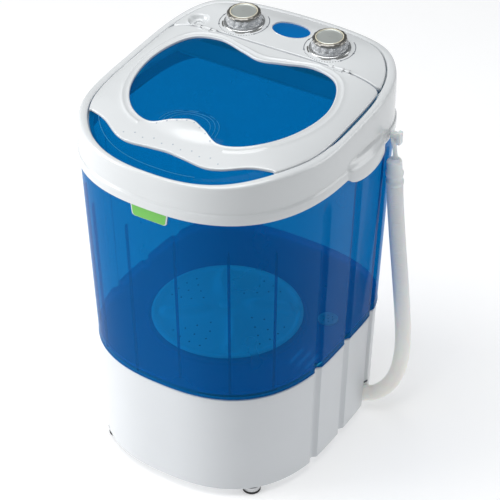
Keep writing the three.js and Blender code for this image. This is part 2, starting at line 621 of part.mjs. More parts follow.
makeBase();
makeTub();
makeCollar();
makeLid();
makePanel();
makeKnob('wash', -KNOB.x);
makeKnob('spin', KNOB.x);
makeDrive();
makeFittings();
makeTrim();

export default machine;
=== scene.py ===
# A small top-load washing machine: the visual model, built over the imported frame.
import math

import bpy
import numpy as np
from mathutils import Matrix, Vector
from mathutils.geometry import delaunay_2d_cdt


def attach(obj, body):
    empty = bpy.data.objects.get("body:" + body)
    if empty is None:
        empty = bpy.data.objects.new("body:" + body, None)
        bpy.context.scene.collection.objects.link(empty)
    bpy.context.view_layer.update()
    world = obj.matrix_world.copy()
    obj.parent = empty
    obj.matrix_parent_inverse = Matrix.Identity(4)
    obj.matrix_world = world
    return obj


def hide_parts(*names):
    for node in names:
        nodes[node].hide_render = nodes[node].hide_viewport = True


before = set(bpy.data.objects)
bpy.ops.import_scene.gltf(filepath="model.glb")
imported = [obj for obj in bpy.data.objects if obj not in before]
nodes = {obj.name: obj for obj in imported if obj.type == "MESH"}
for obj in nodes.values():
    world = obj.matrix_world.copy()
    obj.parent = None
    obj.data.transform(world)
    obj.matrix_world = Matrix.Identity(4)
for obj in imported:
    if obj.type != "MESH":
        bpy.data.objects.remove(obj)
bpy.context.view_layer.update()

# ---- camera --------------------------------------------------------------------------------
camera_data = bpy.data.cameras.new("camera")
camera = bpy.data.objects.new("camera", camera_data)
bpy.context.scene.collection.objects.link(camera)
bpy.context.scene.camera = camera
azimuth, elevation, roll = map(math.radians, (31.5, 35.351, 0.488))
back = Vector((math.sin(azimuth) * math.cos(elevation), -math.cos(azimuth) * math.cos(elevation),
               math.sin(elevation)))
level = Vector((math.cos(azimuth), math.sin(azimuth), 0.0))
lift = back.cross(level)
right = level * math.cos(roll) + lift * math.sin(roll)
up = back.cross(right)
camera.matrix_world = Matrix.Translation((1.06657, -1.69628, 1.70109)) @ Matrix(
    ((right.x, up.x, back.x), (right.y, up.y, back.y), (right.z, up.z, back.z))).to_4x4()
camera_data.lens = 131.942
camera_data.sensor_width = 36.0
camera_data.clip_end = 40.0

# ---- sizes, in millimetres, as in the CAD --------------------------------------------------
HALF_WIDTH, WIDEST_Y, FRONT_DEPTH, REAR_DEPTH = 176.5, -7.0, 192.0, 206.0
SEAM_HALF, SEAM_FRONT, SEAM_REAR = 161.5, 183.3, 193.0
DRAFT_Y = 70.0
BASE_BOTTOM, BASE_TOP, TUB_BOTTOM, COLLAR_BOTTOM = 13.0, 174.6, 175.2, 459.0
GROOVES_Y, GROOVE_HALF, GROOVE_DEPTH = (-55.0, 24.0, 103.0), 9.0, 5.5
HINGE_Y, HINGE_Z, HINGE_X = 95.0, 542.4, 100.0
KNOB_X, KNOB_Y = 65.0, 131.0
INLET_X, INLET_Y = -124.0, 111.0
LENS_Y, LENS_HALF_X, LENS_HALF_Y = 143.0, 27.0, 17.0
GRIP_Y = 36.0
DRIVE_Y = -13.0
HOSE_R = 11.2
TOP_SLOPE = 0.086
WINDOW_DROP = 3.3
KNOB_HEIGHT = 0.86
BADGE_HEIGHT, BADGE_X = 0.87, 3.5


# ---- plan and top surface ------------------------------------------------------------------
def smooth(low, high, t):
    t = np.clip((np.asarray(t, float) - low) / (high - low), 0, 1)
    return t * t * (3 - 2 * t)


def outline_radius(theta, half, front, rear, power):
    c, s = np.abs(np.cos(theta)), np.abs(np.sin(theta))
    forward = np.sin(theta) < 0
    depth = np.where(forward, front, rear)
    px = np.where(forward, power, 2.5)
    py = np.where(forward, power, 5.0)
    low, high = np.zeros_like(theta), np.full_like(theta, 400.0)
    for _ in range(40):
        mid = (low + high) / 2
        inside = (mid * c / half) ** px + (mid * s / depth) ** py < 1
        low, high = np.where(inside, mid, low), np.where(inside, high, mid)
    return low


def plan(theta, scale=1.0, inset=0.0, groove=0.0, width=GROOVE_HALF):
    r = outline_radius(theta, HALF_WIDTH - inset, FRONT_DEPTH - inset, REAR_DEPTH - inset, 2.5)
    side_y = WIDEST_Y + r * np.sin(theta)
    if groove > 0:
        for y in GROOVES_Y:
            across = np.abs(side_y - y) / width
            r = r - np.where(across < 1, groove * np.cos(np.minimum(across, 1) * np.pi / 2), 0)
    y = WIDEST_Y + r * np.sin(theta)
    return np.stack([r * np.cos(theta) * scale, DRAFT_Y + (y - DRAFT_Y) * scale], axis=-1)


def seam(theta, inset=0.0):
    r = outline_radius(theta, SEAM_HALF - inset, SEAM_FRONT - inset, SEAM_REAR - inset, 2.4)
    return np.stack([r * np.cos(theta), WIDEST_Y + r * np.sin(theta)], axis=-1)


def top_z(x, y):
    side = np.minimum(np.abs(x) / 160.0, 1.02) ** 6
    along = smooth(-190, -90, y) * (1 - 0.85 * smooth(150, 195, y))
    return 508 + TOP_SLOPE * (y + 199) + 10 * along * (1 - side) - 5 * side


def with_z(points, z):
    z = np.broadcast_to(np.asarray(z, float), points.shape[:1])
    return np.concatenate([points, z[:, None]], axis=1)


def plan_angles(count, fine):
    """Angles round the plan, closer together across each groove."""
    base = np.linspace(-np.pi, np.pi, count, endpoint=False)
    extra = []
    for y in GROOVES_Y:
        for at in y + np.linspace(-1.12, 1.12, fine) * GROOVE_HALF:
            angle = 0.0
            for _ in range(30):
                r = outline_radius(np.array([angle]), HALF_WIDTH, FRONT_DEPTH, REAR_DEPTH, 2.5)[0]
                angle = math.asin(max(-1, min(1, (at - WIDEST_Y) / r)))
            extra += [angle, math.pi - angle if angle > 0 else -math.pi - angle]
    extra = np.array(extra)
    keep = [a for a in base if np.min(np.abs(extra - a)) > 0.008]
    return np.sort(np.concatenate([keep, extra]))


THETA = plan_angles(320, 19)
EVEN = np.linspace(-np.pi, np.pi, 400, endpoint=False)


# ---- materials -----------------------------------------------------------------------------
def link(tree, a, b):
    tree.links.new(a, b)


def material(name, color, rough=0.3, metal=0.0, coat=0.0, bump=0.1, grain=900.0, tint=0.03, spread=0.06,
             through=None, share=0.0, transmission=0.0, subsurface=0.0, stretch=None, cells=False, gloss=0.5,
             painted_glow=0.0, low=None, low_z=(0.0, 1.0)):
    mat = bpy.data.materials.new(name)
    mat.use_nodes = True
    tree = mat.node_tree
    tree.nodes.clear()
    new = tree.nodes.new
    out, shader = new("ShaderNodeOutputMaterial"), new("ShaderNodeBsdfPrincipled")
    coords = new("ShaderNodeTexCoord")
    source = coords.outputs["Object"]
    if stretch:
        mapping = new("ShaderNodeMapping")
        mapping.inputs["Scale"].default_value = stretch
        link(tree, source, mapping.inputs["Vector"])
        source = mapping.outputs["Vector"]
    broad = new("ShaderNodeTexNoise")
    broad.inputs["Scale"].default_value = 9.0
    broad.inputs["Detail"].default_value = 4.0
    link(tree, source, broad.inputs["Vector"])
    ramp = new("ShaderNodeMapRange")
    ramp.inputs["From Min"].default_value, ramp.inputs["From Max"].default_value = 0.3, 0.7
    ramp.inputs["To Min"].default_value, ramp.inputs["To Max"].default_value = 1 - tint, 1 + tint
    link(tree, broad.outputs["Fac"], ramp.inputs["Value"])
    shade = new("ShaderNodeVectorMath")
    shade.operation = "MULTIPLY"
    shade.inputs[0].default_value = color[:3]
    link(tree, ramp.outputs["Result"], shade.inputs[1])
    # An optional second colour, blended in by object height; on the hose it paints the lower part lighter and
    # warmer, as painted light on its shaded lower bend.
    if low:
        split, climb, blend = new("ShaderNodeSeparateXYZ"), new("ShaderNodeMapRange"), new("ShaderNodeMix")
        climb.inputs["From Min"].default_value, climb.inputs["From Max"].default_value = low_z
        blend.data_type = "RGBA"
        blend.inputs[6].default_value, blend.inputs[7].default_value = (*low, 1), (*color[:3], 1)
        link(tree, coords.outputs["Object"], split.inputs["Vector"])
        link(tree, split.outputs["Z"], climb.inputs["Value"])
        link(tree, climb.outputs["Result"], blend.inputs[0])
        link(tree, blend.outputs[2], shade.inputs[0])
    link(tree, shade.outputs["Vector"], shader.inputs["Base Color"])
    fine = new("ShaderNodeTexVoronoi" if cells else "ShaderNodeTexNoise")
    fine.inputs["Scale"].default_value = grain
    link(tree, source, fine.inputs["Vector"])
    fine_out = fine.outputs["Distance" if cells else "Fac"]
    rough_range = new("ShaderNodeMapRange")
    rough_range.inputs["From Min"].default_value, rough_range.inputs["From Max"].default_value = 0.25, 0.75
    rough_range.inputs["To Min"].default_value = max(0.02, rough - spread)
    rough_range.inputs["To Max"].default_value = rough + spread
    link(tree, broad.outputs["Fac"], rough_range.inputs["Value"])
    link(tree, rough_range.outputs["Result"], shader.inputs["Roughness"])
    bump_node = new("ShaderNodeBump")
    bump_node.inputs["Strength"].default_value = bump
    bump_node.inputs["Distance"].default_value = 0.0002
    link(tree, fine_out, bump_node.inputs["Height"])
    link(tree, bump_node.outputs["Normal"], shader.inputs["Normal"])
    shader.inputs["Metallic"].default_value = metal
    shader.inputs["Coat Weight"].default_value = coat
    shader.inputs["Coat Roughness"].default_value = 0.04
    shader.inputs["Transmission Weight"].default_value = transmission
    shader.inputs["Subsurface Weight"].default_value = subsurface
    shader.inputs["Subsurface Scale"].default_value = 0.004
    shader.inputs["IOR"].default_value = 1.49
    shader.inputs["Specular IOR Level"].default_value = gloss
    # Emission here is painted light: a part given a glow shines as if lit, though it is no lamp.
    shader.inputs["Emission Color"].default_value = (*color[:3], 1)
    shader.inputs["Emission Strength"].default_value = painted_glow
    surface = shader.outputs["BSDF"]
    if through:
        clear, mix = new("ShaderNodeBsdfTransparent"), new("ShaderNodeMixShader")
        clear.inputs["Color"].default_value = (*through, 1)
        mix.inputs["Fac"].default_value = share
        link(tree, surface, mix.inputs[1])
        link(tree, clear.outputs["BSDF"], mix.inputs[2])
        surface = mix.outputs["Shader"]
    link(tree, surface, out.inputs["Surface"])
    return mat


WHITE = material("white_gloss", (0.66, 0.68, 0.69), rough=0.22, coat=0.35, bump=0.05, tint=0.015)
WHITE_SATIN = material("white_satin", (0.66, 0.68, 0.70), rough=0.34, coat=0.1, bump=0.12, tint=0.02)
BLUE = material("blue_clear", (0.0, 0.132, 0.36), rough=0.12, bump=0.04, tint=0.05, gloss=0.07,
                through=(0.03, 0.50, 0.82), share=0.52)
BLUE_LID = material("blue_lid", (0.0, 0.110, 0.285), rough=0.08, bump=0.03, tint=0.04, gloss=0.07,
                    through=(0.01, 0.46, 0.80), share=0.50)
# The tub floor is a lighter blue than the wall and glows: painted light inside the shaded tub.
BLUE_FLOOR_PAINTED_LIGHT = material("blue_floor_painted_light", (0.0, 0.17, 0.50), rough=0.15, bump=0.04, tint=0.05, gloss=0.07,
                      through=(0.03, 0.50, 0.82), share=0.25, painted_glow=0.14)
BLUE_RIB = material("blue_rib", (0.0, 0.115, 0.34), rough=0.15, bump=0.04, tint=0.04, gloss=0.1,
                    through=(0.10, 0.62, 0.88), share=0.74)
# Lighter blue for thin ridges on the window: painted highlight lines along them.
BLUE_PAINTED_HIGHLIGHT = material("blue_painted_highlight", (0.05, 0.30, 0.55), rough=0.2, bump=0.03, tint=0.05, gloss=0.2,
                     through=(0.2, 0.6, 0.9), share=0.35)
BLUE_LENS = material("blue_lens", (0.0, 0.118, 0.36), rough=0.1, coat=0.0, bump=0.03, tint=0.05, gloss=0.15)
GREEN = material("green_label", (0.13, 0.47, 0.06), rough=0.3, coat=0.3, bump=0.05)
CHROME = material("chrome_trim", (0.55, 0.56, 0.56), rough=0.24, metal=0.8, bump=0.04, tint=0.04)
CHAMPAGNE = material("champagne_satin", (0.64, 0.67, 0.64), rough=0.36, metal=0.7, bump=0.1, tint=0.05)
# Dark chrome for the knob rims; also the painted dark reflection arcs round each bezel.
DARK_CHROME_AND_REFLECTION = material("dark_chrome_and_painted_reflection", (0.27, 0.26, 0.24), rough=0.34, metal=0.9, bump=0.06, tint=0.08)
CLEAR = material("clear_acrylic", (0.92, 0.94, 0.96), rough=0.05, bump=0.05, tint=0.02, spread=0.02,
                 transmission=0.4, through=(0.97, 0.98, 0.99), share=0.22)
# Dark ink for printed marks; also used as painted shade for the slot above the hose exit.
INK_AND_SHADE = material("printed_ink_and_painted_shade", (0.10, 0.11, 0.13), rough=0.5, bump=0.05)
# The hose's glow and its lighter, warmer colour towards the bottom are painted light on the shaded lower part
# of the hose.
HOSE = material("milky_hose", (0.74, 0.77, 0.78), rough=0.38, bump=0.08, grain=500, tint=0.03, subsurface=0.3,
                painted_glow=0.07, low=(0.97, 0.95, 0.88), low_z=(0.06, 0.24))
CUFF = material("milky_cuff", (0.82, 0.86, 0.87), rough=0.3, bump=0.05, tint=0.03, subsurface=0.25,
                through=(0.9, 0.94, 0.97), share=0.08)
STEEL = material("turned_steel", (0.55, 0.56, 0.57), rough=0.3, metal=1.0, bump=0.15, tint=0.06,
                 stretch=(1, 1, 40), grain=200)
GALV = material("galvanised", (0.5, 0.52, 0.54), rough=0.42, metal=0.9, bump=0.1, tint=0.12, grain=120,
                cells=True)
RUBBER = material("black_rubber", (0.018, 0.018, 0.02), rough=0.75, bump=0.4, grain=1400, tint=0.2)
# Dark moulded parts; also painted shade for the holes in the pulsator.
DARK_AND_SHADE = material("dark_moulded_and_painted_shade", (0.03, 0.035, 0.04), rough=0.5, bump=0.3, tint=0.1)
CREAM = material("cream_moulded", (0.62, 0.58, 0.46), rough=0.45, bump=0.2, tint=0.04)
# The pulsator glows a little: painted light inside the shaded tub.
PULSATOR = material("pulsator_white", (0.80, 0.84, 0.87), rough=0.3, bump=0.1, tint=0.03, coat=0.2, painted_glow=0.10)
RING_CREAM = material("cream_ring", (0.74, 0.70, 0.55), rough=0.3, bump=0.05, coat=0.2)
# Dark grey-blue for the lid's small dots: painted shade in dimples.
DIMPLE_SHADE = material("dot_shade", (0.34, 0.40, 0.46), rough=0.35, bump=0.05)


# ---- meshes --------------------------------------------------------------------------------
def piece(name, verts, faces, mat, body, slot=None, replaces=(), angle=34.0):
    mesh = bpy.data.meshes.new(name)
    mesh.from_pydata((np.asarray(verts, float) / 1000.0).tolist(), [], [list(map(int, f)) for f in faces])
    mesh.validate()
    mesh.materials.append(mat)
    obj = bpy.data.objects.new(name, mesh)
    bpy.context.scene.collection.objects.link(obj)
    for polygon in mesh.polygons:
        polygon.use_smooth = True
    mesh.set_sharp_from_angle(angle=math.radians(angle))
    mesh.update()
    if replaces:
        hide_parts(*replaces)
    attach(obj, body)
    return obj


def grid_faces(rows, count, close_rows=False, start=0):
    faces = []
    last = rows if close_rows else rows - 1
    for r in range(last):
        a, b = start + r * count, start + ((r + 1) % rows) * count
        for i in range(count):
            j = (i + 1) % count
            faces.append((a + i, a + j, b + j, b + i))
    return faces


def oriented(verts, faces):
    """Faces of a closed body turned so that they look outwards."""
    volume = 0.0
    for f in faces:
        p = verts[f[0]]
        for k in range(1, len(f) - 1):
            volume += float(np.dot(p, np.cross(verts[f[k]], verts[f[k + 1]])))
    return faces if volume >= 0 else [tuple(reversed(f)) for f in faces]


def loft(name, rows, mat, body, closed=True, flip=False, caps=(), **more):
    rows = [np.asarray(r, float) for r in rows]
    count = len(rows[0])
    verts = np.concatenate(rows)
    faces = grid_faces(len(rows), count, closed)
    for cap in caps:
        row = 0 if cap == "first" else len(rows) - 1
        ring = [row * count + i for i in range(count)]
        faces.append(tuple(reversed(ring)) if cap == "first" else tuple(ring))
    if closed or len(caps) == 2:
        faces = oriented(verts, faces)
    elif flip:
        faces = [tuple(reversed(f)) for f in faces]
    return piece(name, verts, faces, mat, body, **more)


def rounded_block(name, low, high, mat, body, bevel, **more):
    """A box between two corners, with rounded edges."""
    low, high = np.array(low, float), np.array(high, float)
    corners = np.array([(x, y, z) for x in (0, 1) for y in (0, 1) for z in (0, 1)], float)
    verts = low + corners * (high - low)
    faces = [(0, 1, 3, 2), (4, 6, 7, 5), (0, 4, 5, 1), (2, 3, 7, 6), (0, 2, 6, 4), (1, 5, 7, 3)]
    obj = piece(name, verts, faces, mat, body, **more)
    mod = obj.modifiers.new("rounding", "BEVEL")
    mod.width, mod.segments = bevel / 1000.0, 4
    return obj


def lathe_rows(profile, count, wave=None):
    angle = np.linspace(0, 2 * np.pi, count, endpoint=False)
    rows = []
    for r, z in profile:
        radius = np.full(count, float(r))
        if wave:
            radius = radius * (1 + wave(angle, r, z))
        rows.append(np.stack([radius * np.cos(angle), radius * np.sin(angle), np.full(count, float(z))], 1))
    return rows


def placed(rows, matrix):
    """Rows moved by a 4 by 4 matrix, in millimetres."""
    turn = np.array(matrix.to_3x3())
    shift = np.array(matrix.translation)
    return [r @ turn.T + shift for r in rows]


def on_panel(x, y, above=0.0):
    z = float(top_z(np.array(x), np.array(y))) + above
    return Matrix.Translation((x, y, z)) @ Matrix.Rotation(math.atan(TOP_SLOPE), 4, "X")


def boundary_radius(loop, centre, theta):
    """Distance from the centre to a closed loop, for each angle."""
    d = np.asarray(loop, float) - centre
    angle, radius = np.arctan2(d[:, 1], d[:, 0]), np.hypot(d[:, 0], d[:, 1])
    order = np.argsort(angle)
    return np.interp(theta, angle[order], radius[order], period=2 * np.pi)


def spline(points, per, closed=True):
    """Centripetal Catmull-Rom curve through the points, as three.js draws it."""
    p = np.asarray(points, float)
    n = len(p)
    spans = n if closed else n - 1
    out = []
    for k in range(spans):
        if closed:
            p0, p1, p2, p3 = p[(k - 1) % n], p[k], p[(k + 1) % n], p[(k + 2) % n]
        else:
            p1, p2 = p[k], p[k + 1]
            p0 = p[k - 1] if k else 2 * p[0] - p[1]
            p3 = p[k + 2] if k + 2 < n else 2 * p[-1] - p[-2]
        d0, d1, d2 = (max(1e-4, float(np.sum((b - a) ** 2)) ** 0.25)
                      for a, b in ((p0, p1), (p1, p2), (p2, p3)))
        t1 = ((p1 - p0) / d0 - (p2 - p0) / (d0 + d1) + (p2 - p1) / d1) * d1
        t2 = ((p2 - p1) / d1 - (p3 - p1) / (d1 + d2) + (p3 - p2) / d2) * d1
        for i in range(per):
            t = i / per
            out.append(p1 + t1 * t + (3 * (p2 - p1) - 2 * t1 - t2) * t * t
                       + (2 * (p1 - p2) + t1 + t2) * t ** 3)
    if not closed:
        out.append(p[-1])
    return np.array(out)


# ---- drain hose ----------------------------------------------------------------------------
ROUTE = [(158.5, 104.6, 29), (164.8, 107.5, 29), (172.2, 111, 32), (183, 116.1, 42), (191.5, 120.2, 56),
         (197, 122.8, 74), (200.3, 124.4, 98), (201, 124.8, 124), (199.8, 124.1, 152), (197.3, 122.8, 184),
         (194.4, 120.8, 218), (191.3, 117.8, 256), (188.6, 114, 294), (186.4, 109.8, 332),
         (184.8, 105.6, 368), (184, 102.6, 398)]


def even_path(points, step):
    lengths = np.concatenate([[0], np.cumsum(np.linalg.norm(np.diff(points, axis=0), axis=1))])
    count = int(round(lengths[-1] / step)) + 1
    at = np.linspace(0, lengths[-1], count)
    return np.stack([np.interp(at, lengths, points[:, k]) for k in range(3)], axis=1), lengths[-1]


def tube_rows(path, radii, sides):
    tangents = np.gradient(path, axis=0)
    tangents /= np.linalg.norm(tangents, axis=1)[:, None]
    side = np.cross(tangents[0], (0.3, -0.9, 0.2))
    rows = []
    angle = np.linspace(0, 2 * np.pi, sides, endpoint=False)
    for p, t, r in zip(path, tangents, radii):
        side = side - t * np.dot(side, t)
        side /= np.linalg.norm(side)
        other = np.cross(t, side)
        rows.append(p + r * (np.cos(angle)[:, None] * side + np.sin(angle)[:, None] * other))
    return rows


hose_path, hose_length = even_path(spline(ROUTE, 24, closed=False), 0.8)
travel = np.linspace(0, hose_length, len(hose_path))
ripple = 0.12 + 0.36 * smooth(90, 300, travel)
hose_radii = HOSE_R - ripple + ripple * np.cos(2 * np.pi * travel / 3.2)
hose = loft("hose_tube", tube_rows(hose_path, hose_radii, 40), HOSE, "cabinet", closed=False,
            caps=("first", "last"), replaces=("drain_hose",), slot="hose_plastic", angle=60)

first_dir = hose_path[0] - hose_path[3]
first_dir /= np.linalg.norm(first_dir)
sleeve_path = np.array([hose_path[0] + first_dir * (d - 3.0) for d in (15.0, 12.0, 8.0, 4.0, 0.6)])
loft("hose_sleeve", tube_rows(sleeve_path, [10.9, 11.6, 11.7, 11.7, 11.5], 40), HOSE, "cabinet",
     closed=False, caps=("first", "last"), slot="hose_plastic", angle=60)

hose_end = hose_path[-1]
hose_dir = hose_path[-1] - hose_path[-3]
hose_dir /= np.linalg.norm(hose_dir)
lean = Vector((0, 0, 1)).rotation_difference(Vector(hose_dir)).to_matrix().to_4x4()
CUFF_PROFILE = [(6, -3), (11.3, -3), (11.9, -2.4), (12.2, -1.2), (12.2, 0.6), (11.9, 1.8), (11.2, 2.6),
                (10.7, 4.0), (10.7, 9.0), (11.1, 10.4), (12.0, 11.4), (12.3, 12.6), (12.3, 14.0),
                (12.0, 15.2), (11.2, 16.4), (10.7, 17.6), (10.4, 19.5), (10.3, 30.5), (10.1, 32),
                (9.5, 33.2), (8.6, 33.8), (7.0, 34.0), (0.6, 34.0)]
cuff = loft("hose_cuff_shell", placed(lathe_rows(CUFF_PROFILE, 48), Matrix.Translation(hose_end) @ lean),
            CUFF, "cabinet", closed=False, caps=("first", "last"), replaces=("hose_cuff",),
            slot="hose_plastic")

strap_path = spline([(183.4, 101.0, 431), (183.0, 100.9, 439), (182.0, 100.7, 447), (180.6, 100.4, 455),
                     (179.6, 100.2, 463)], 8, closed=False)
strap_rows = []
for i, p in enumerate(strap_path):
    t = i / (len(strap_path) - 1)
    wide = 3.9 - 0.9 * math.sin(math.pi * min(1, t * 1.1))
    ring = [(math.cos(a) * wide, math.sin(a) * 1.3) for a in np.linspace(0, 2 * np.pi, 20, endpoint=False)]
    strap_rows.append(np.array([(p[0] + a * 0.85 - b * 0.5, p[1] + a * 0.5 + b * 0.85, p[2])
                                for a, b in ring]))
strap = loft("hose_strap_web", strap_rows, CUFF, "cabinet", closed=False, caps=("first", "last"),
             replaces=("hose_strap",), slot="hose_plastic")

clip_arm = rounded_block("clip_arm", (174.9, 98.4, 463), (187.0, 106.8, 470.6), CUFF, "cabinet", 1.2,
                         replaces=("hose_clip",), slot="white_plastic")
clip_tongue = rounded_block("clip_tongue", (184.2, 97.6, 455.6), (189.8, 107.4, 473.4), CUFF, "cabinet", 1.2,
                            slot="white_plastic")


# ---- base and tub --------------------------------------------------------------------------
def base_scale(z):
    return 0.910 + (0.9325 - 0.910) * (z - BASE_BOTTOM) / (BASE_TOP - BASE_BOTTOM)


def tub_scale(z):
    return 0.935 + (0.988 - 0.935) * (z - TUB_BOTTOM) / (COLLAR_BOTTOM - TUB_BOTTOM)


base_rows = []
for z, inset in ((13, 3), (13, 1.2), (13.3, 0.5), (14, 0.1), (15, 0), (60, 0), (110, 0), (160, 0), (171.6, 0),
                 (172.8, 0.15), (173.4, 0.6), (173.7, 1.3), (174.3, 1.7), (174.6, 2.4), (174.6, 6), (165, 6),
                 (30, 3.5)):
    base_rows.append(with_z(plan(THETA, base_scale(z), inset, GROOVE_DEPTH), z))
loft("base_shell", base_rows, WHITE_SATIN, "cabinet", replaces=("base_housing",), slot="white_plastic")

# A dark strip on the far slope of the rear groove above the hose exit: painted shade of a slot there.
side_wall = plan(THETA, base_scale(48), 0, GROOVE_DEPTH)
side_wall = side_wall[(side_wall[:, 0] > 100) & (side_wall[:, 1] > 40)]
slot_y = np.linspace(102.6, 108.6, 9)
slot_x = np.interp(slot_y, side_wall[:, 1], side_wall[:, 0])
slot_loop = np.concatenate([np.stack([slot_x + 0.6, slot_y], axis=1),
                            np.stack([slot_x - 1.0, slot_y], axis=1)[::-1]])
loft("exit_slot", [with_z(slot_loop, z) for z in (46.2, 49.0)], INK_AND_SHADE, "cabinet", caps=("first", "last"))

tub_rows = []
for z, inset in ((175.0, 2.6), (175.1, 0.6), (175.5, -0.2), (176.3, -0.6), (177.2, -0.5), (178.2, -0.1),
                 (179.4, 0), (200, 0), (240, 0), (280, 0), (320, 0), (360, 0), (400, 0), (425, 0)):
    tub_rows.append(with_z(plan(THETA, tub_scale(z), inset, GROOVE_DEPTH), z))
for z in (429, 432, 435, 438, 440.5, 442.5, 444, 445.2, 446, 446.6):
    fade = math.sqrt(max(0.0, 1 - ((z - 427) / 19.8) ** 2))
    points = plan(THETA, tub_scale(z), 0, GROOVE_DEPTH * fade, GROOVE_HALF * max(0.25, fade))
    tub_rows.append(with_z(points, z))
for z, inset in ((447, 0), (452, 0), (458.4, 0), (458.6, 3), (470, 3.2), (477, 3.2), (478, 4)):
    tub_rows.append(with_z(plan(THETA, tub_scale(min(z, 458.6)), inset), z))
loft("tub_wall", tub_rows, BLUE, "cabinet", closed=False, replaces=("tub",), slot="blue_plastic")


def toward_circle(theta, radius):
    return np.stack([radius * np.cos(theta), DRIVE_Y + radius * np.sin(theta)], axis=1)


floor_rows = []
for z, inset in ((188, 1.0), (184, 1.6), (181.2, 3.2), (179.8, 6), (179.6, 9)):
    floor_rows.append(with_z(plan(EVEN, 0.936, inset, GROOVE_DEPTH), z))
outer_floor = plan(EVEN, 0.936, 12, 2.0)
ring = toward_circle(EVEN, 113)
for t in (0.33, 0.66, 1.0):
    floor_rows.append(with_z(outer_floor * (1 - t) + ring * t, 179.6))
for radius, z in ((111.5, 180.4), (110, 182.6), (108.5, 183), (106.8, 182.4), (106, 180.6), (60, 179.8),
                  (9, 179.8)):
    floor_rows.append(with_z(toward_circle(EVEN, radius), z))
# The tub floor; its material paints light into the shaded inside of the tub.
loft("tub_floor", floor_rows, BLUE_FLOOR_PAINTED_LIGHT, "cabinet", closed=False, slot="blue_plastic")


def wall_rib(name, x, top):
    """An upright rib inside the front of the tub, with a rounded top."""
    sample = plan(EVEN, 1.0)
    front = np.where(sample[:, 1] < 60)[0]
    centre = EVEN[front[np.argmin(np.abs(sample[front, 0] - x))]]
    rows = []
    for z in list(np.linspace(181, top - 8, 12)) + [top - 5, top - 3, top - 1.4, top - 0.4]:
        left = max(0.0, (z - (top - 8)) / 8)
        half = 1.9 * math.sqrt(max(0.02, 1 - left ** 2))
        radius = float(outline_radius(np.array([centre]), HALF_WIDTH, FRONT_DEPTH, REAR_DEPTH, 2.5)[0])
        span = np.array([-1, -0.8, -0.3, 0.3, 0.8, 1]) * half / radius
        deep = np.array([0.6, 2.6, 3.6, 3.6, 2.6, 0.6])
        outer = [plan(np.array([centre + a]), tub_scale(z), d)[0] for a, d in zip(span, deep)]
        inner = [plan(np.array([centre + a]), tub_scale(z), 0.4)[0] for a in span[::-1][1:-1]]
        rows.append(with_z(np.array(outer + inner), z))
    loft(name, rows, BLUE_RIB, "cabinet", closed=False, caps=("first", "last"), slot="blue_plastic")


for index, (x, top) in enumerate(((-149, 408), (-105, 416), (-37, 420), (37, 420), (105, 416), (149, 408))):
    wall_rib(f"tub_rib_{index + 1}", x, top)


# ---- collar --------------------------------------------------------------------------------
def grip_bulge(points, z):
    """How far the side grips swell out at each point of a row."""
    along = 1 - ((points[:, 1] - GRIP_Y) / 47.0) ** 2
    tall = 1 - (np.maximum(0, z - 461) / 19.5) ** 2
    side = np.abs(points[:, 0]) > 120
    return np.where(side & (along > 0) & (tall > 0), 8.0 * np.sqrt(np.maximum(0, along * tall)), 0)


def collar_row(z, inset, hang=0.0, swell=1.0):
    points = plan(EVEN, 1.0, inset)
    along = np.maximum(0, 1 - ((points[:, 1] - GRIP_Y) / 46.0) ** 2)
    low = np.where(np.abs(points[:, 0]) > 120, np.sqrt(along), 0) * hang
    height = z - low
    out = grip_bulge(points, height) * swell
    points = points + np.stack([np.sign(points[:, 0]) * out, np.zeros(len(out))], axis=1)
    return with_z(points, height)


seam_points = seam(EVEN)
rim_height = top_z(seam_points[:, 0], seam_points[:, 1])
notch_along = 1 - ((seam_points[:, 1] - 27) / 63.0) ** 2
notch = np.where((seam_points[:, 0] > 100) & (notch_along > 0), 3.0 * np.sqrt(np.maximum(0, notch_along)), 0)
seam_edge = seam(EVEN, -0.6) + np.stack([notch, np.zeros(len(notch))], axis=1)
outer_edge = plan(EVEN, 1.0, 1.0)


def rim_row(reach, drop):
    points = outer_edge * (1 - reach) + seam_edge * reach
    return with_z(points, rim_height - drop)


collar_rows = [collar_row(459.2, 3.2, 11.5), collar_row(459.0, 1.2, 11.5), collar_row(459.2, 0.4, 11.3),
               collar_row(460.0, 0, 11), collar_row(462.5, 0, 9.5), collar_row(465, 0, 7.5),
               collar_row(468, 0, 5.0), collar_row(470.6, 0, 3), collar_row(471.8, 0.35, 2),
               collar_row(472.6, 1.0, 1.4), collar_row(473.2, 1.7, 1), collar_row(474.2, 2.0, 0.6),
               collar_row(476, 2.05, 0.2), collar_row(478, 2.1), collar_row(479.2, 2.1),
               collar_row(480.2, 2.12), collar_row(481.5, 2.15), collar_row(486, 2.3)]
for reach, drop in ((0.10, 17), (0.12, 12), (0.135, 8.5), (0.155, 5.6), (0.19, 3.4), (0.245, 1.9),
                    (0.33, 0.9), (0.45, 0.3), (0.62, 0.05), (0.76, 0.0), (0.88, 0.15), (0.95, 0.6),
                    (0.99, 1.5), (1.0, 3.0), (1.0, 9.5)):
    collar_rows.append(rim_row(reach, drop))
ledge = seam(EVEN, 6)
collar_rows += [with_z(ledge, rim_height - 9.7), with_z(ledge, rim_height - 12),
                with_z(plan(EVEN, 1.0, 6.6), rim_height - 15), with_z(plan(EVEN, 1.0, 6.4), 485),
                collar_row(480, 4.0, 0, 0.8), collar_row(470, 3.8, 3, 0.8), collar_row(462, 3.8, 10, 0.75)]
loft("collar_shell", collar_rows, WHITE, "cabinet", replaces=("top_collar",), slot="white_plastic", angle=40)

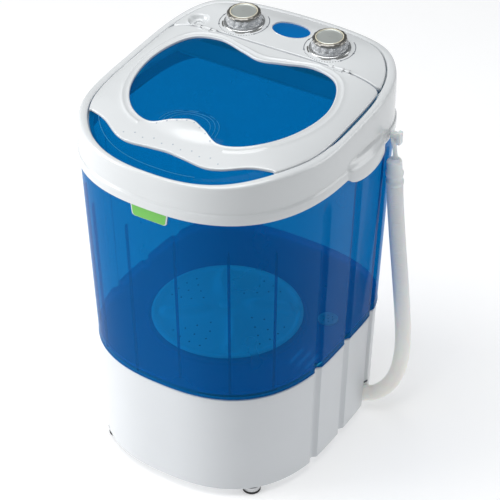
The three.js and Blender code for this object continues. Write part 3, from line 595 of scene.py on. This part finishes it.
# ---- lid -----------------------------------------------------------------------------------
PANE = [(0, 63.5), (30, 71), (70, 81), (108, 69), (130, 16), (117, -56), (84, -101), (50, -113.5), (20, -101),
        (0, -93.5)]
SCOOP = [(0, -149.5), (25, -151.5), (57, -154), (76, -149), (107, -131), (134, -121)]
pane_loop = spline(PANE + [(-x, y) for x, y in reversed(PANE[1:-1])], 12)[:, :2]
CENTRE = np.array([0.0, -10.0])
theta = np.linspace(-np.pi, np.pi, 900, endpoint=False)
lid_theta = np.linspace(-np.pi, np.pi, 1800, endpoint=False)


def lid_edge_radius(inset):
    loop = seam(lid_theta, 0.7 + inset)
    radius = boundary_radius(loop, CENTRE, theta)
    reach = (HINGE_Y - 0.8 - inset - CENTRE[1]) / np.maximum(1e-6, np.sin(theta))
    straight = np.where(np.sin(theta) > 0.05, reach, 1e9)
    # a small round where the straight rear edge meets the sides
    return -4.0 * np.log(np.exp(-radius / 4.0) + np.exp(-np.minimum(straight, 900) / 4.0))


scoop_half = spline([(-x, y) for x, y in reversed(SCOOP[1:])] + SCOOP, 16, closed=False)[:, :2]
scoop_angle = np.arctan2(scoop_half[:, 1] - CENTRE[1], scoop_half[:, 0] - CENTRE[0])
scoop_radius = np.hypot(scoop_half[:, 0] - CENTRE[0], scoop_half[:, 1] - CENTRE[1])
order = np.argsort(scoop_angle)


def frame_edge_radius(inset):
    edge = lid_edge_radius(inset)
    wave = np.interp(theta, scoop_angle[order], scoop_radius[order] - inset, left=1e9, right=1e9)
    return np.minimum(edge, wave)


def polar(radius):
    return CENTRE + np.stack([radius * np.cos(theta), radius * np.sin(theta)], axis=1)


def bump_height(p):
    """The raised finger grip on the lid, in front of the window."""
    across = 1 - (p[:, 0] / 60.0) ** 2
    across = np.maximum(0, across)
    front = -129 + 11 * (p[:, 0] / 60.0) ** 2
    rise = smooth(0, 24, p[:, 1] - front)
    return 4.8 * rise * across ** 0.8 * (p[:, 1] < -50)


inner = boundary_radius(pane_loop, CENTRE, theta)
lid_rows = []
for add, drop in ((0.5, 3.25), (0.0, 3.1), (0.0, 1.3), (0.2, 0.5), (0.6, 0.0), (1.2, -0.35), (1.9, -0.4),
                  (2.7, -0.15), (3.6, 0.1), (5.0, 0.1)):
    p = polar(inner + add)
    lid_rows.append(with_z(p, top_z(p[:, 0], p[:, 1]) - drop + bump_height(p) * (1 if drop < 2 else 0)))
for away in (6.4, 7.6, 8.8, 10.0, 11.2, 12.6):
    p = polar(np.minimum(inner + away, frame_edge_radius(1.6)))
    ridge = 1.2 * math.exp(-((away - 9.4) / 1.9) ** 2) * ~((np.abs(p[:, 0]) < 62) & (p[:, 1] < -50))
    lid_rows.append(with_z(p, top_z(p[:, 0], p[:, 1]) + bump_height(p) + ridge))
for t in np.linspace(0.12, 0.94, 14):
    p = polar(np.minimum(inner + 12.6, frame_edge_radius(1.6)) * (1 - t) + frame_edge_radius(1.3) * t)
    lid_rows.append(with_z(p, top_z(p[:, 0], p[:, 1]) + bump_height(p)))
for inset, drop in ((1.3, 0.0), (0.6, 0.2), (0.2, 0.7), (0.0, 1.5), (0.0, 3.1)):
    p = polar(frame_edge_radius(inset))
    lid_rows.append(with_z(p, top_z(p[:, 0], p[:, 1]) - drop))
loft("lid_bezel", lid_rows, WHITE, "lid", replaces=("lid_frame",), slot="white_plastic", angle=40)

pane_rows = []
full = lid_edge_radius(0.3)
for t in (0.03, 0.2, 0.34, 0.42, 0.46, 0.50, 0.54, 0.58, 0.62, 0.7, 0.8, 0.85, 0.91, 0.94, 0.955, 0.97, 0.985,
          0.995):
    p = polar(full * t)
    step = 0.9 * smooth(0.945, 0.958, t) * smooth(-100, -125, p[:, 1])
    dome = np.maximum(0, 1 - (p[:, 0] / 54) ** 2 - ((p[:, 1] + 100) / 30) ** 2)
    height = top_z(p[:, 0], p[:, 1]) - WINDOW_DROP - step + 4.2 * np.sqrt(dome) * (p[:, 1] > -112)
    pane_rows.append(with_z(p, height))
for t, drop in ((1.0, 3.9), (1.0, 6.0)):
    p = polar(full * t)
    pane_rows.append(with_z(p, top_z(p[:, 0], p[:, 1]) - drop - 0.9 * smooth(-100, -125, p[:, 1])))
loft("lid_window", pane_rows, BLUE_LID, "lid", closed=False, caps=("first",), replaces=("lid_pane",),
     slot="blue_plastic")


def pane_z(x, y):
    dome = np.maximum(0, 1 - (x / 54) ** 2 - ((y + 100) / 30) ** 2)
    return top_z(x, y) - WINDOW_DROP + 4.2 * np.sqrt(dome) * (y > -112)


# Thin concentric ridges on the window's dome, in a lighter blue that paints their highlights.
for k, radius in enumerate((41.0, 36.0, 30.0)):
    a = np.linspace(0.05, math.pi - 0.05, 48)
    x, y = radius * np.cos(a) - 1, -107 + radius * np.sin(a)
    path = np.stack([x, y, pane_z(x, y) + 0.1], axis=1)
    loft(f"window_arc_{k + 1}", tube_rows(path, [0.42] * 48, 10), BLUE_PAINTED_HIGHLIGHT, "lid", closed=False,
         caps=("first", "last"), slot="blue_plastic")
# A thin ridge along the window's front edge, in a lighter blue that paints its highlight.
ridge_angle = np.linspace(-2.45, -1.25, 90)
ridge_radius = 0.93 * np.interp(ridge_angle, theta, full)
x, y = CENTRE[0] + ridge_radius * np.cos(ridge_angle), CENTRE[1] + ridge_radius * np.sin(ridge_angle)
path = np.stack([x, y, top_z(x, y) - WINDOW_DROP], axis=1)
loft("window_ridge", tube_rows(path, [0.5] * len(path), 10), BLUE_PAINTED_HIGHLIGHT, "lid", closed=False,
     caps=("first", "last"), slot="blue_plastic")


def dot_field(name, spots, radius, height, mat, body, surface):
    """Small round dots standing on a surface."""
    verts, faces = [], []
    ring = np.linspace(0, 2 * np.pi, 12, endpoint=False)
    for x, y in spots:
        start = len(verts)
        for r, h in ((radius, -0.1), (radius * 0.85, height * 0.6), (radius * 0.45, height)):
            for a in ring:
                px, py = x + r * math.cos(a), y + r * math.sin(a)
                verts.append((px, py, surface(px, py) + h))
        faces += grid_faces(3, 12, start=start)
        faces.append(tuple(start + 24 + i for i in range(12)))
    return piece(name, verts, faces, mat, body)


def lid_surface(x, y):
    p = np.array([[x, y]])
    return float(top_z(p[:, 0], p[:, 1])[0] + bump_height(p)[0])


front_dots = [(s * 13.75 * i, -137 - 4 * (i % 2) - 2.2 * (i / 5) ** 2) for i in range(6) for s in (-1, 1)
              if i or s > 0]
grip_dots = []
for x in (-39, -28, -16.5, -5.5, 5.5, 16.5, 28, 39):
    near_front = pane_loop[pane_loop[:, 1] < 0]
    edge_y = near_front[np.argmin(np.abs(near_front[:, 0] - x)), 1]
    grip_dots.append((x, edge_y - 3.6))
# The lid's dots are dark: painted shade standing for small dimples.
dot_field("lid_dots", front_dots + grip_dots, 1.05, 0.35, DIMPLE_SHADE, "lid", lid_surface)

for side, s in (("left", -1), ("right", 1)):
    turn = Matrix.Translation((s * HINGE_X, HINGE_Y, HINGE_Z)) @ Matrix.Rotation(math.pi / 2, 4, "Y")
    profile = [(1.5, -6), (2.3, -6), (2.6, -5.6), (2.6, 5.6), (2.3, 6), (1.5, 6)]
    loft(f"lid_knuckle_{side}", placed(lathe_rows(profile, 28), turn), WHITE, "lid", slot="white_plastic")
    xs = (s * HINGE_X - 5.6, s * HINGE_X + 5.6)
    section = [(-2.0, -1.5), (-5.9, -1.7), (-5.9, 0.9), (-2.0, 1.1)]
    rows = [np.array([(x, HINGE_Y + a, HINGE_Z + b) for a, b in section]) for x in xs]
    loft(f"lid_arm_{side}", rows, WHITE, "lid", closed=False, caps=("first", "last"), slot="white_plastic")


# ---- control panel -------------------------------------------------------------------------
def lens_loop(grow, count=96):
    a = np.linspace(0, 2 * np.pi, count, endpoint=False)
    return np.stack([(LENS_HALF_X + grow) * np.cos(a), LENS_Y + (LENS_HALF_Y + grow) * np.sin(a)], axis=1)


def circle_loop(x, y, r, count=64):
    a = np.linspace(0, 2 * np.pi, count, endpoint=False)
    return np.stack([x + r * np.cos(a), y + r * np.sin(a)], axis=1)


def panel_loop(inset):
    edge = seam(lid_theta, 0.7 + inset)
    front = HINGE_Y + 1.2 + inset
    rear = edge[edge[:, 1] > front + 2.5]
    rear = rear[np.argsort(np.arctan2(rear[:, 1] - 100, rear[:, 0]))]
    half = rear[0, 0] - 2.0
    line = np.stack([np.linspace(-half, half, 60), np.full(60, front)], axis=1)
    return np.concatenate([line, rear[::3]])


def ccw(loop):
    x, y = loop[:, 0], loop[:, 1]
    return loop if np.sum(x * np.roll(y, -1) - y * np.roll(x, -1)) > 0 else loop[::-1]


def resample(loop, count):
    closed = np.concatenate([loop, loop[:1]])
    lengths = np.concatenate([[0], np.cumsum(np.linalg.norm(np.diff(closed, axis=0), axis=1))])
    at = np.linspace(0, lengths[-1], count, endpoint=False)
    return np.stack([np.interp(at, lengths, closed[:, k]) for k in range(2)], axis=1)


def inside(points, loop):
    x, y = points[:, 0], points[:, 1]
    result = np.zeros(len(points), bool)
    for (x1, y1), (x2, y2) in zip(loop, np.roll(loop, -1, axis=0)):
        crosses = (y1 > y) != (y2 > y)
        with np.errstate(divide="ignore", invalid="ignore"):
            result ^= crosses & (x < (x2 - x1) * (y - y1) / (y2 - y1) + x1)
    return result


outlines = [ccw(resample(panel_loop(1.2), 260)), ccw(lens_loop(1.0, 72)),
            ccw(circle_loop(INLET_X, INLET_Y, 15.4)), ccw(circle_loop(-KNOB_X, KNOB_Y, 6)),
            ccw(circle_loop(KNOB_X, KNOB_Y, 6))]
grid = np.stack(np.meshgrid(np.arange(-160, 161, 6.0), np.arange(96, 190, 6.0)), axis=-1).reshape(-1, 2)
keep = inside(grid, outlines[0])
for hole in outlines[1:]:
    keep &= ~inside(grid, hole)
near = np.min([np.min(np.linalg.norm(grid[:, None] - loop[None], axis=2), axis=1) for loop in outlines],
              axis=0)
grid = grid[keep & (near > 2.5)]
flat = np.concatenate(outlines + [grid])
loops, begin = [], 0
for loop in outlines:
    loops.append(list(range(begin, begin + len(loop))))
    begin += len(loop)
edge_list = [(loop[i], loop[(i + 1) % len(loop)]) for loop in loops for i in range(len(loop))]
points2, _, triangles, _, _, _ = delaunay_2d_cdt([Vector(p) for p in flat], edge_list, [], 0, 1e-5)
points2 = np.array([tuple(p) for p in points2])
centres = np.array([points2[list(t)].mean(axis=0) for t in triangles])
used = inside(centres, outlines[0])
for hole in outlines[1:]:
    used &= ~inside(centres, hole)
panel_faces = [tuple(t) for t, u in zip(triangles, used) if u]
panel_verts = [(x, y, float(top_z(x, y))) for x, y in points2]


def border(profile):
    """Adds rows that turn an edge of the panel down."""
    previous = None
    for points, drop in profile:
        start = len(panel_verts)
        panel_verts.extend((x, y, float(top_z(x, y)) - drop) for x, y in points)
        row = list(range(start, start + len(points)))
        if previous is not None:
            for i in range(len(row)):
                j = (i + 1) % len(row)
                panel_faces.append((previous[i], row[i], row[j], previous[j]))
        previous = row


base_loop = outlines[0]
tangent = np.roll(base_loop, -1, axis=0) - np.roll(base_loop, 1, axis=0)
normal = np.stack([tangent[:, 1], -tangent[:, 0]], axis=1)
normal /= np.linalg.norm(normal, axis=1)[:, None]
border([(base_loop, 0), (base_loop + normal * 0.6, 0.2), (base_loop + normal * 1.0, 0.6),
        (base_loop + normal * 1.2, 1.3), (base_loop + normal * 1.2, 4.0)])
lens_out = outlines[1]
lens_mid = np.array([0.0, LENS_Y])
border([(lens_mid + (lens_out - lens_mid) * t, drop)
        for t, drop in ((1.0, 0), (0.992, -0.5), (0.982, -0.45), (0.97, 0.7), (0.965, 3.0))])
piece("panel_shell", panel_verts, panel_faces, WHITE, "cabinet", slot="white_plastic",
      replaces=("control_panel",), angle=40)

lens_rows = []
for t, drop in ((0.02, 0.7), (0.3, 0.75), (0.6, 0.9), (0.85, 1.1), (0.97, 1.35)):
    p = lens_mid + (lens_out - lens_mid) * t
    lens_rows.append(with_z(p, top_z(p[:, 0], p[:, 1]) - drop))
loft("panel_oval", lens_rows, BLUE_LENS, "cabinet", closed=False, caps=("first",), replaces=("panel_lens",),
     slot="blue_plastic")

inlet_profile = [(15.4, 0), (14.9, -0.1), (13.8, -0.8), (12.6, -2.4), (11.6, -4.6), (10.2, -6.2), (8.4, -6.8),
                 (7.6, -6.2), (6.9, -5.4), (6.0, -5.6), (5.2, -7.4), (4.0, -8.0), (1.0, -8.2)]
inlet_rows = placed(lathe_rows(inlet_profile, 64), on_panel(INLET_X, INLET_Y))
first = inlet_rows[0]
first[:, 2] = top_z(first[:, 0], first[:, 1])
loft("inlet_cup", inlet_rows, WHITE, "cabinet", closed=False, caps=("last",), replaces=("water_inlet",),
     slot="white_plastic")

for side, s in (("left", -1), ("right", 1)):
    for k, off in enumerate((-12, 12)):
        x = s * HINGE_X + off
        section = [(-2.4, -4.2), (5.6, -4.2), (5.6, -0.8), (2.6, 1.0), (0.9, 1.95), (-0.9, 1.95), (-2.2, 1.2),
                   (-2.7, 0.0)]
        rows = [np.array([(px, HINGE_Y + a, HINGE_Z + b) for a, b in section]) for px in (x - 2.4, x + 2.4)]
        loft(f"hinge_lug_{side}_{k + 1}", rows, WHITE, "cabinet", closed=False, caps=("first", "last"),
             slot="white_plastic")


# ---- knobs ---------------------------------------------------------------------------------
def flutes(count, depth, low, high):
    def wave(angle, r, z):
        weight = smooth(low, low + 3, z) * (1 - smooth(high - 3, high, z))
        facet = 0.35 * np.cos(angle * count * 1.5 + z * 1.5)
        return depth / max(r, 1) * weight * (np.abs(np.cos(angle * count / 2)) - 0.5 + facet)
    return wave


def scallops(count, depth):
    return lambda angle, r, z: depth / max(r, 1) * (np.cos(angle * count) * 0.5) * (1 if r > 20 else 0)


def arc_ribbons(name, x, radius, width, spans, mat):
    """Thin arcs laid on the panel round a knob: printed scale arcs, and dark arcs that are a painted
    reflection of the chrome bezel.
    """
    for k, (start, end) in enumerate(spans):
        count = max(4, int(abs(end - start) * radius / 1.2))
        a = np.linspace(start, end, count)
        rows = []
        for r in (radius - width / 2, radius + width / 2):
            px, py = x + r * np.cos(a), KNOB_Y + r * np.sin(a)
            rows.append(np.stack([px, py, top_z(px, py) + 0.12], axis=1))
        faces = [(i, i + 1, count + i + 1, count + i) for i in range(count - 1)]
        piece(f"{name}_{k + 1}", np.concatenate(rows), faces, mat, "cabinet")


for body, x in (("wash_knob", -KNOB_X), ("spin_knob", KNOB_X)):
    name = body.split("_")[0]
    seat = on_panel(x, KNOB_Y)
    knob_seat = seat @ Matrix.Diagonal((1, 1, KNOB_HEIGHT, 1))
    ring_profile = [(23.6, 0.2), (27.4, 0.1), (27.7, 0.7), (27.4, 1.5), (26.6, 2.1), (25.6, 2.2), (24.9, 1.7),
                    (24.5, 0.9), (23.6, 0.7)]
    loft(f"{name}_bezel", placed(lathe_rows(ring_profile, 96), seat), CHROME, "cabinet",
         replaces=(f"{name}_dial_ring",), slot="silver_trim")
    skirt_profile = [(4, 1.0), (22.8, 1.0), (23.6, 1.6), (23.9, 3.0), (23.6, 4.2), (22.6, 5.4), (23.0, 7.0),
                     (22.9, 9.5), (22.2, 12), (21.2, 13.8), (20, 14.5), (4, 14.5)]
    skirt_rows = lathe_rows(skirt_profile, 160, flutes(14, 2.2, 4.0, 14.4))
    loft(f"{name}_skirt", placed(skirt_rows, knob_seat), CLEAR, body,
         replaces=(f"{name}_knob_skirt",), slot="clear_plastic", angle=60)
    rim_profile = [(18.4, 14.9), (21.2, 14.9), (22.2, 15.5), (22.6, 16.6), (22.2, 18.0), (21.0, 19.2),
                   (19.6, 19.8), (18.9, 19.7), (18.6, 19.0)]
    loft(f"{name}_rim", placed(lathe_rows(rim_profile, 168, scallops(16, 0.7)), knob_seat), DARK_CHROME_AND_REFLECTION, body,
         replaces=(f"{name}_knob_rim",), slot="silver_trim", angle=60)
    cap_profile = [(0.5, 15), (17.0, 15), (17.1, 18.8), (16.9, 19.5), (16.5, 19.7), (16.1, 19.4),
                   (15.8, 18.9), (15, 18.8), (10, 19.0), (5, 19.1), (0.5, 19.15)]
    loft(f"{name}_cap", placed(lathe_rows(cap_profile, 96), knob_seat), CHAMPAGNE, body,
         replaces=(f"{name}_knob_cap",), slot="silver_trim")
    band = [(18.2, 18.4), (18.6, 19.0), (18.5, 19.75), (17.9, 20.0), (17.4, 19.75), (17.3, 19.0)]
    loft(f"{name}_band", placed(lathe_rows(band, 96), knob_seat), RING_CREAM, body, slot="silver_trim")
    arc_ribbons(f"{name}_scale", x, 33.5, 1.0, ((-0.62, 0.9), (-2.52, -3.9)), INK_AND_SHADE)
    # Dark arcs just outside the bezel: painted reflection, the dark segments seen in the chrome ring.
    arc_ribbons(f"{name}_shade", x, 28.9, 1.7, ((-2.75, -2.25), (-1.45, -1.0), (-0.75, -0.1)), DARK_CHROME_AND_REFLECTION)
    for kind, angles, size, tall in (("ticks", np.linspace(-2.42, -0.72, 17), 0.8, 0.14),
                                     ("marks", (-0.62, -2.52, 0.1, -3.24), 1.5, 0.16)):
        spots = [(x + 33.5 * math.cos(a), KNOB_Y + 33.5 * math.sin(a)) for a in angles]
        dot_field(f"{name}_{kind}", spots, size, tall, INK_AND_SHADE, "cabinet", lambda px, py: float(top_z(px, py)))

# ---- badge ---------------------------------------------------------------------------------
badge = [(-27, 0), (-25.6, -12.5)]
badge += [(-20.5 + 5 * math.cos(a), -13.4 + 4.6 * math.sin(a)) for a in np.linspace(np.pi, 1.5 * np.pi, 8)]
badge += [(20.5 + 5 * math.cos(a), -13.4 + 4.6 * math.sin(a)) for a in np.linspace(1.5 * np.pi, 2 * np.pi, 8)]
badge += [(25.6, -12.5), (27, 0)]
badge = np.array(badge) * (1, BADGE_HEIGHT) + (BADGE_X, 0)
badge_mid = np.array([BADGE_X, -7.8])


def front_y(x, z):
    line = plan(EVEN, tub_scale(z))
    front = line[line[:, 1] < 0]
    order_x = np.argsort(front[:, 0])
    return np.interp(x, front[order_x, 0], front[order_x, 1])


def badge_rows(shrink, proud):
    p = badge_mid + (badge - badge_mid) * shrink
    x, z = p[:, 0], COLLAR_BOTTOM - 0.5 + p[:, 1]
    return np.stack([x, front_y(x, 450.0) - proud, z], axis=1)


loft("badge_border", [badge_rows(1, 0.2), badge_rows(1, 1.6), badge_rows(0.985, 2.0), badge_rows(0.9, 2.05),
                      badge_rows(0.9, 0.2)],
     WHITE, "cabinet", replaces=("front_badge",), slot="white_plastic")
loft("badge_label", [badge_rows(0.93, 1.2), badge_rows(0.93, 2.25), badge_rows(0.5, 2.35),
                     badge_rows(0.02, 2.4)],
     GREEN, "cabinet", closed=False, caps=("last",), slot="green_plastic", flip=True)


# ---- pulsator ------------------------------------------------------------------------------
spin = np.linspace(0, 2 * np.pi, 360, endpoint=False)


def pulsator_z(r, angle):
    base = np.interp(r, [6.4, 14, 26, 60, 88, 94, 97, 99, 102, 104],
                     [196.4, 196.3, 193, 188.4, 185.6, 185.6, 187.4, 189.0, 189.0, 187.0])
    swirl = angle - math.pi / 4 + 0.25 * (r / 100) ** 2
    nearest = (swirl + math.pi / 4) % (math.pi / 2) - math.pi / 4
    ridge = np.exp(-(nearest * r / 9.0) ** 2) * smooth(16, 40, r) * (1 - smooth(84, 97, r))
    return base + 11.5 * ridge


rows = []
for r in (104, 103.6, 102.6, 101, 99, 98, 97, 95.5, 94, 92, 88, 84, 79, 74, 68, 62, 56, 50, 44, 38, 32,
          27, 22, 18, 14, 10, 6.4):
    z = pulsator_z(r, spin) - (1.2 if r > 103.8 else 0)
    rows.append(np.stack([r * np.cos(spin), DRIVE_Y + r * np.sin(spin), z], axis=1))
rows.append(np.stack([6.4 * np.cos(spin), DRIVE_Y + 6.4 * np.sin(spin), np.full(360, 184.6)], axis=1))
rows.append(np.stack([98 * np.cos(spin), DRIVE_Y + 98 * np.sin(spin), np.full(360, 183.6)], axis=1))
# The disc and boss glow faintly from their material: painted light.
loft("pulsator_disc", rows, PULSATOR, "agitator", replaces=("pulsator",), slot="white_plastic")
cap_rows = lathe_rows([(1, 197), (12, 197), (12.2, 197.8), (11.4, 199.4), (9.4, 200.8), (6, 201.9),
                       (1, 202.3)], 48)
loft("pulsator_boss", [r + np.array([0, DRIVE_Y, 0]) for r in cap_rows], PULSATOR, "agitator",
     replaces=("pulsator_cap",), slot="white_plastic")
holes = []
for sector in range(4):
    for ring_r, count in ((40, 1), (55, 2), (70, 3), (85, 4)):
        for i in range(count):
            a = math.pi / 2 * sector + math.pi / 4 * ((i + 0.5) / count - 0.5) - 0.25 * (ring_r / 100) ** 2
            holes.append((ring_r * math.cos(a), DRIVE_Y + ring_r * math.sin(a)))
# Dark dots over the pulsator's holes: painted shade in the holes.
dot_field("pulsator_dots", holes, 1.3, 0.3, DARK_AND_SHADE, "agitator",
          lambda px, py: float(pulsator_z(math.hypot(px, py - DRIVE_Y), math.atan2(py - DRIVE_Y, px))))

# ---- CAD nodes that show as they are -------------------------------------------------------
LOOKS = {
    "base_plate": WHITE_SATIN, "control_tray": WHITE_SATIN, "drain_strainer": WHITE_SATIN,
    "hinge_pin_left": STEEL, "hinge_pin_right": STEEL, "wash_spindle": STEEL, "spin_spindle": STEEL,
    "drive_shaft": STEEL, "motor_shaft": STEEL, "motor": GALV, "motor_bracket": GALV, "drive_belt": RUBBER,
    "shaft_seal": RUBBER, "drive_pulley": DARK_AND_SHADE, "motor_pulley": DARK_AND_SHADE, "capacitor": DARK_AND_SHADE, "cable_gland": DARK_AND_SHADE,
    "terminal_block": CREAM, "bearing_housing": CREAM, "wash_timer": CREAM, "spin_timer": CREAM,
    "drain_pipe": CREAM,
}
for end in ("front", "rear"):
    for side in ("left", "right"):
        LOOKS[f"foot_{end}_{side}"] = STEEL
        LOOKS[f"foot_pad_{end}_{side}"] = RUBBER
for name, look in LOOKS.items():
    mesh = nodes[name].data
    mesh.materials.clear()
    mesh.materials.append(look)

# ---- studio --------------------------------------------------------------------------------
floor_mesh = bpy.data.meshes.new("studio_floor")
floor_mesh.from_pydata([(-9, -9, 0), (9, -9, 0), (9, 9, 0), (-9, 9, 0)], [], [(0, 1, 2, 3)])
floor = bpy.data.objects.new("studio_floor", floor_mesh)
bpy.context.scene.collection.objects.link(floor)
floor_look = material("studio_paper", (0.66, 0.665, 0.67), rough=0.8, bump=0.02, tint=0.004)
floor_shader = next(n for n in floor_look.node_tree.nodes if n.type == "BSDF_PRINCIPLED")
floor_shader.inputs["Emission Color"].default_value = (1, 1, 1, 1)
floor_shader.inputs["Emission Strength"].default_value = 0.42
floor_mesh.materials.append(floor_look)

world = bpy.data.worlds.new("studio")
bpy.context.scene.world = world
world.use_nodes = True
world.node_tree.nodes["Background"].inputs["Color"].default_value = (0.90, 0.95, 1.0, 1)
world.node_tree.nodes["Background"].inputs["Strength"].default_value = 0.14


def softbox(name, place, aim, size, power, color=(1, 1, 1)):
    data = bpy.data.lights.new(name, "AREA")
    data.shape = "RECTANGLE"
    data.size, data.size_y = size
    data.energy = power
    data.color = color
    obj = bpy.data.objects.new(name, data)
    bpy.context.scene.collection.objects.link(obj)
    obj.location = place
    obj.rotation_euler = (Vector(aim) - Vector(place)).to_track_quat("-Z", "Y").to_euler()


softbox("key_left", (-2.5, -1.7, 0.9), (0, 0, 0.3), (1.8, 1.6), 70)
softbox("side_right", (2.4, 1.8, 1.15), (0, 0, 0.3), (1.4, 1.8), 23)
softbox("overhead", (-0.3, -0.5, 3.1), (0, 0, 0.4), (2.6, 2.6), 84)

bpy.context.scene.view_settings.view_transform = "Standard"
bpy.context.scene.view_settings.look = "None"
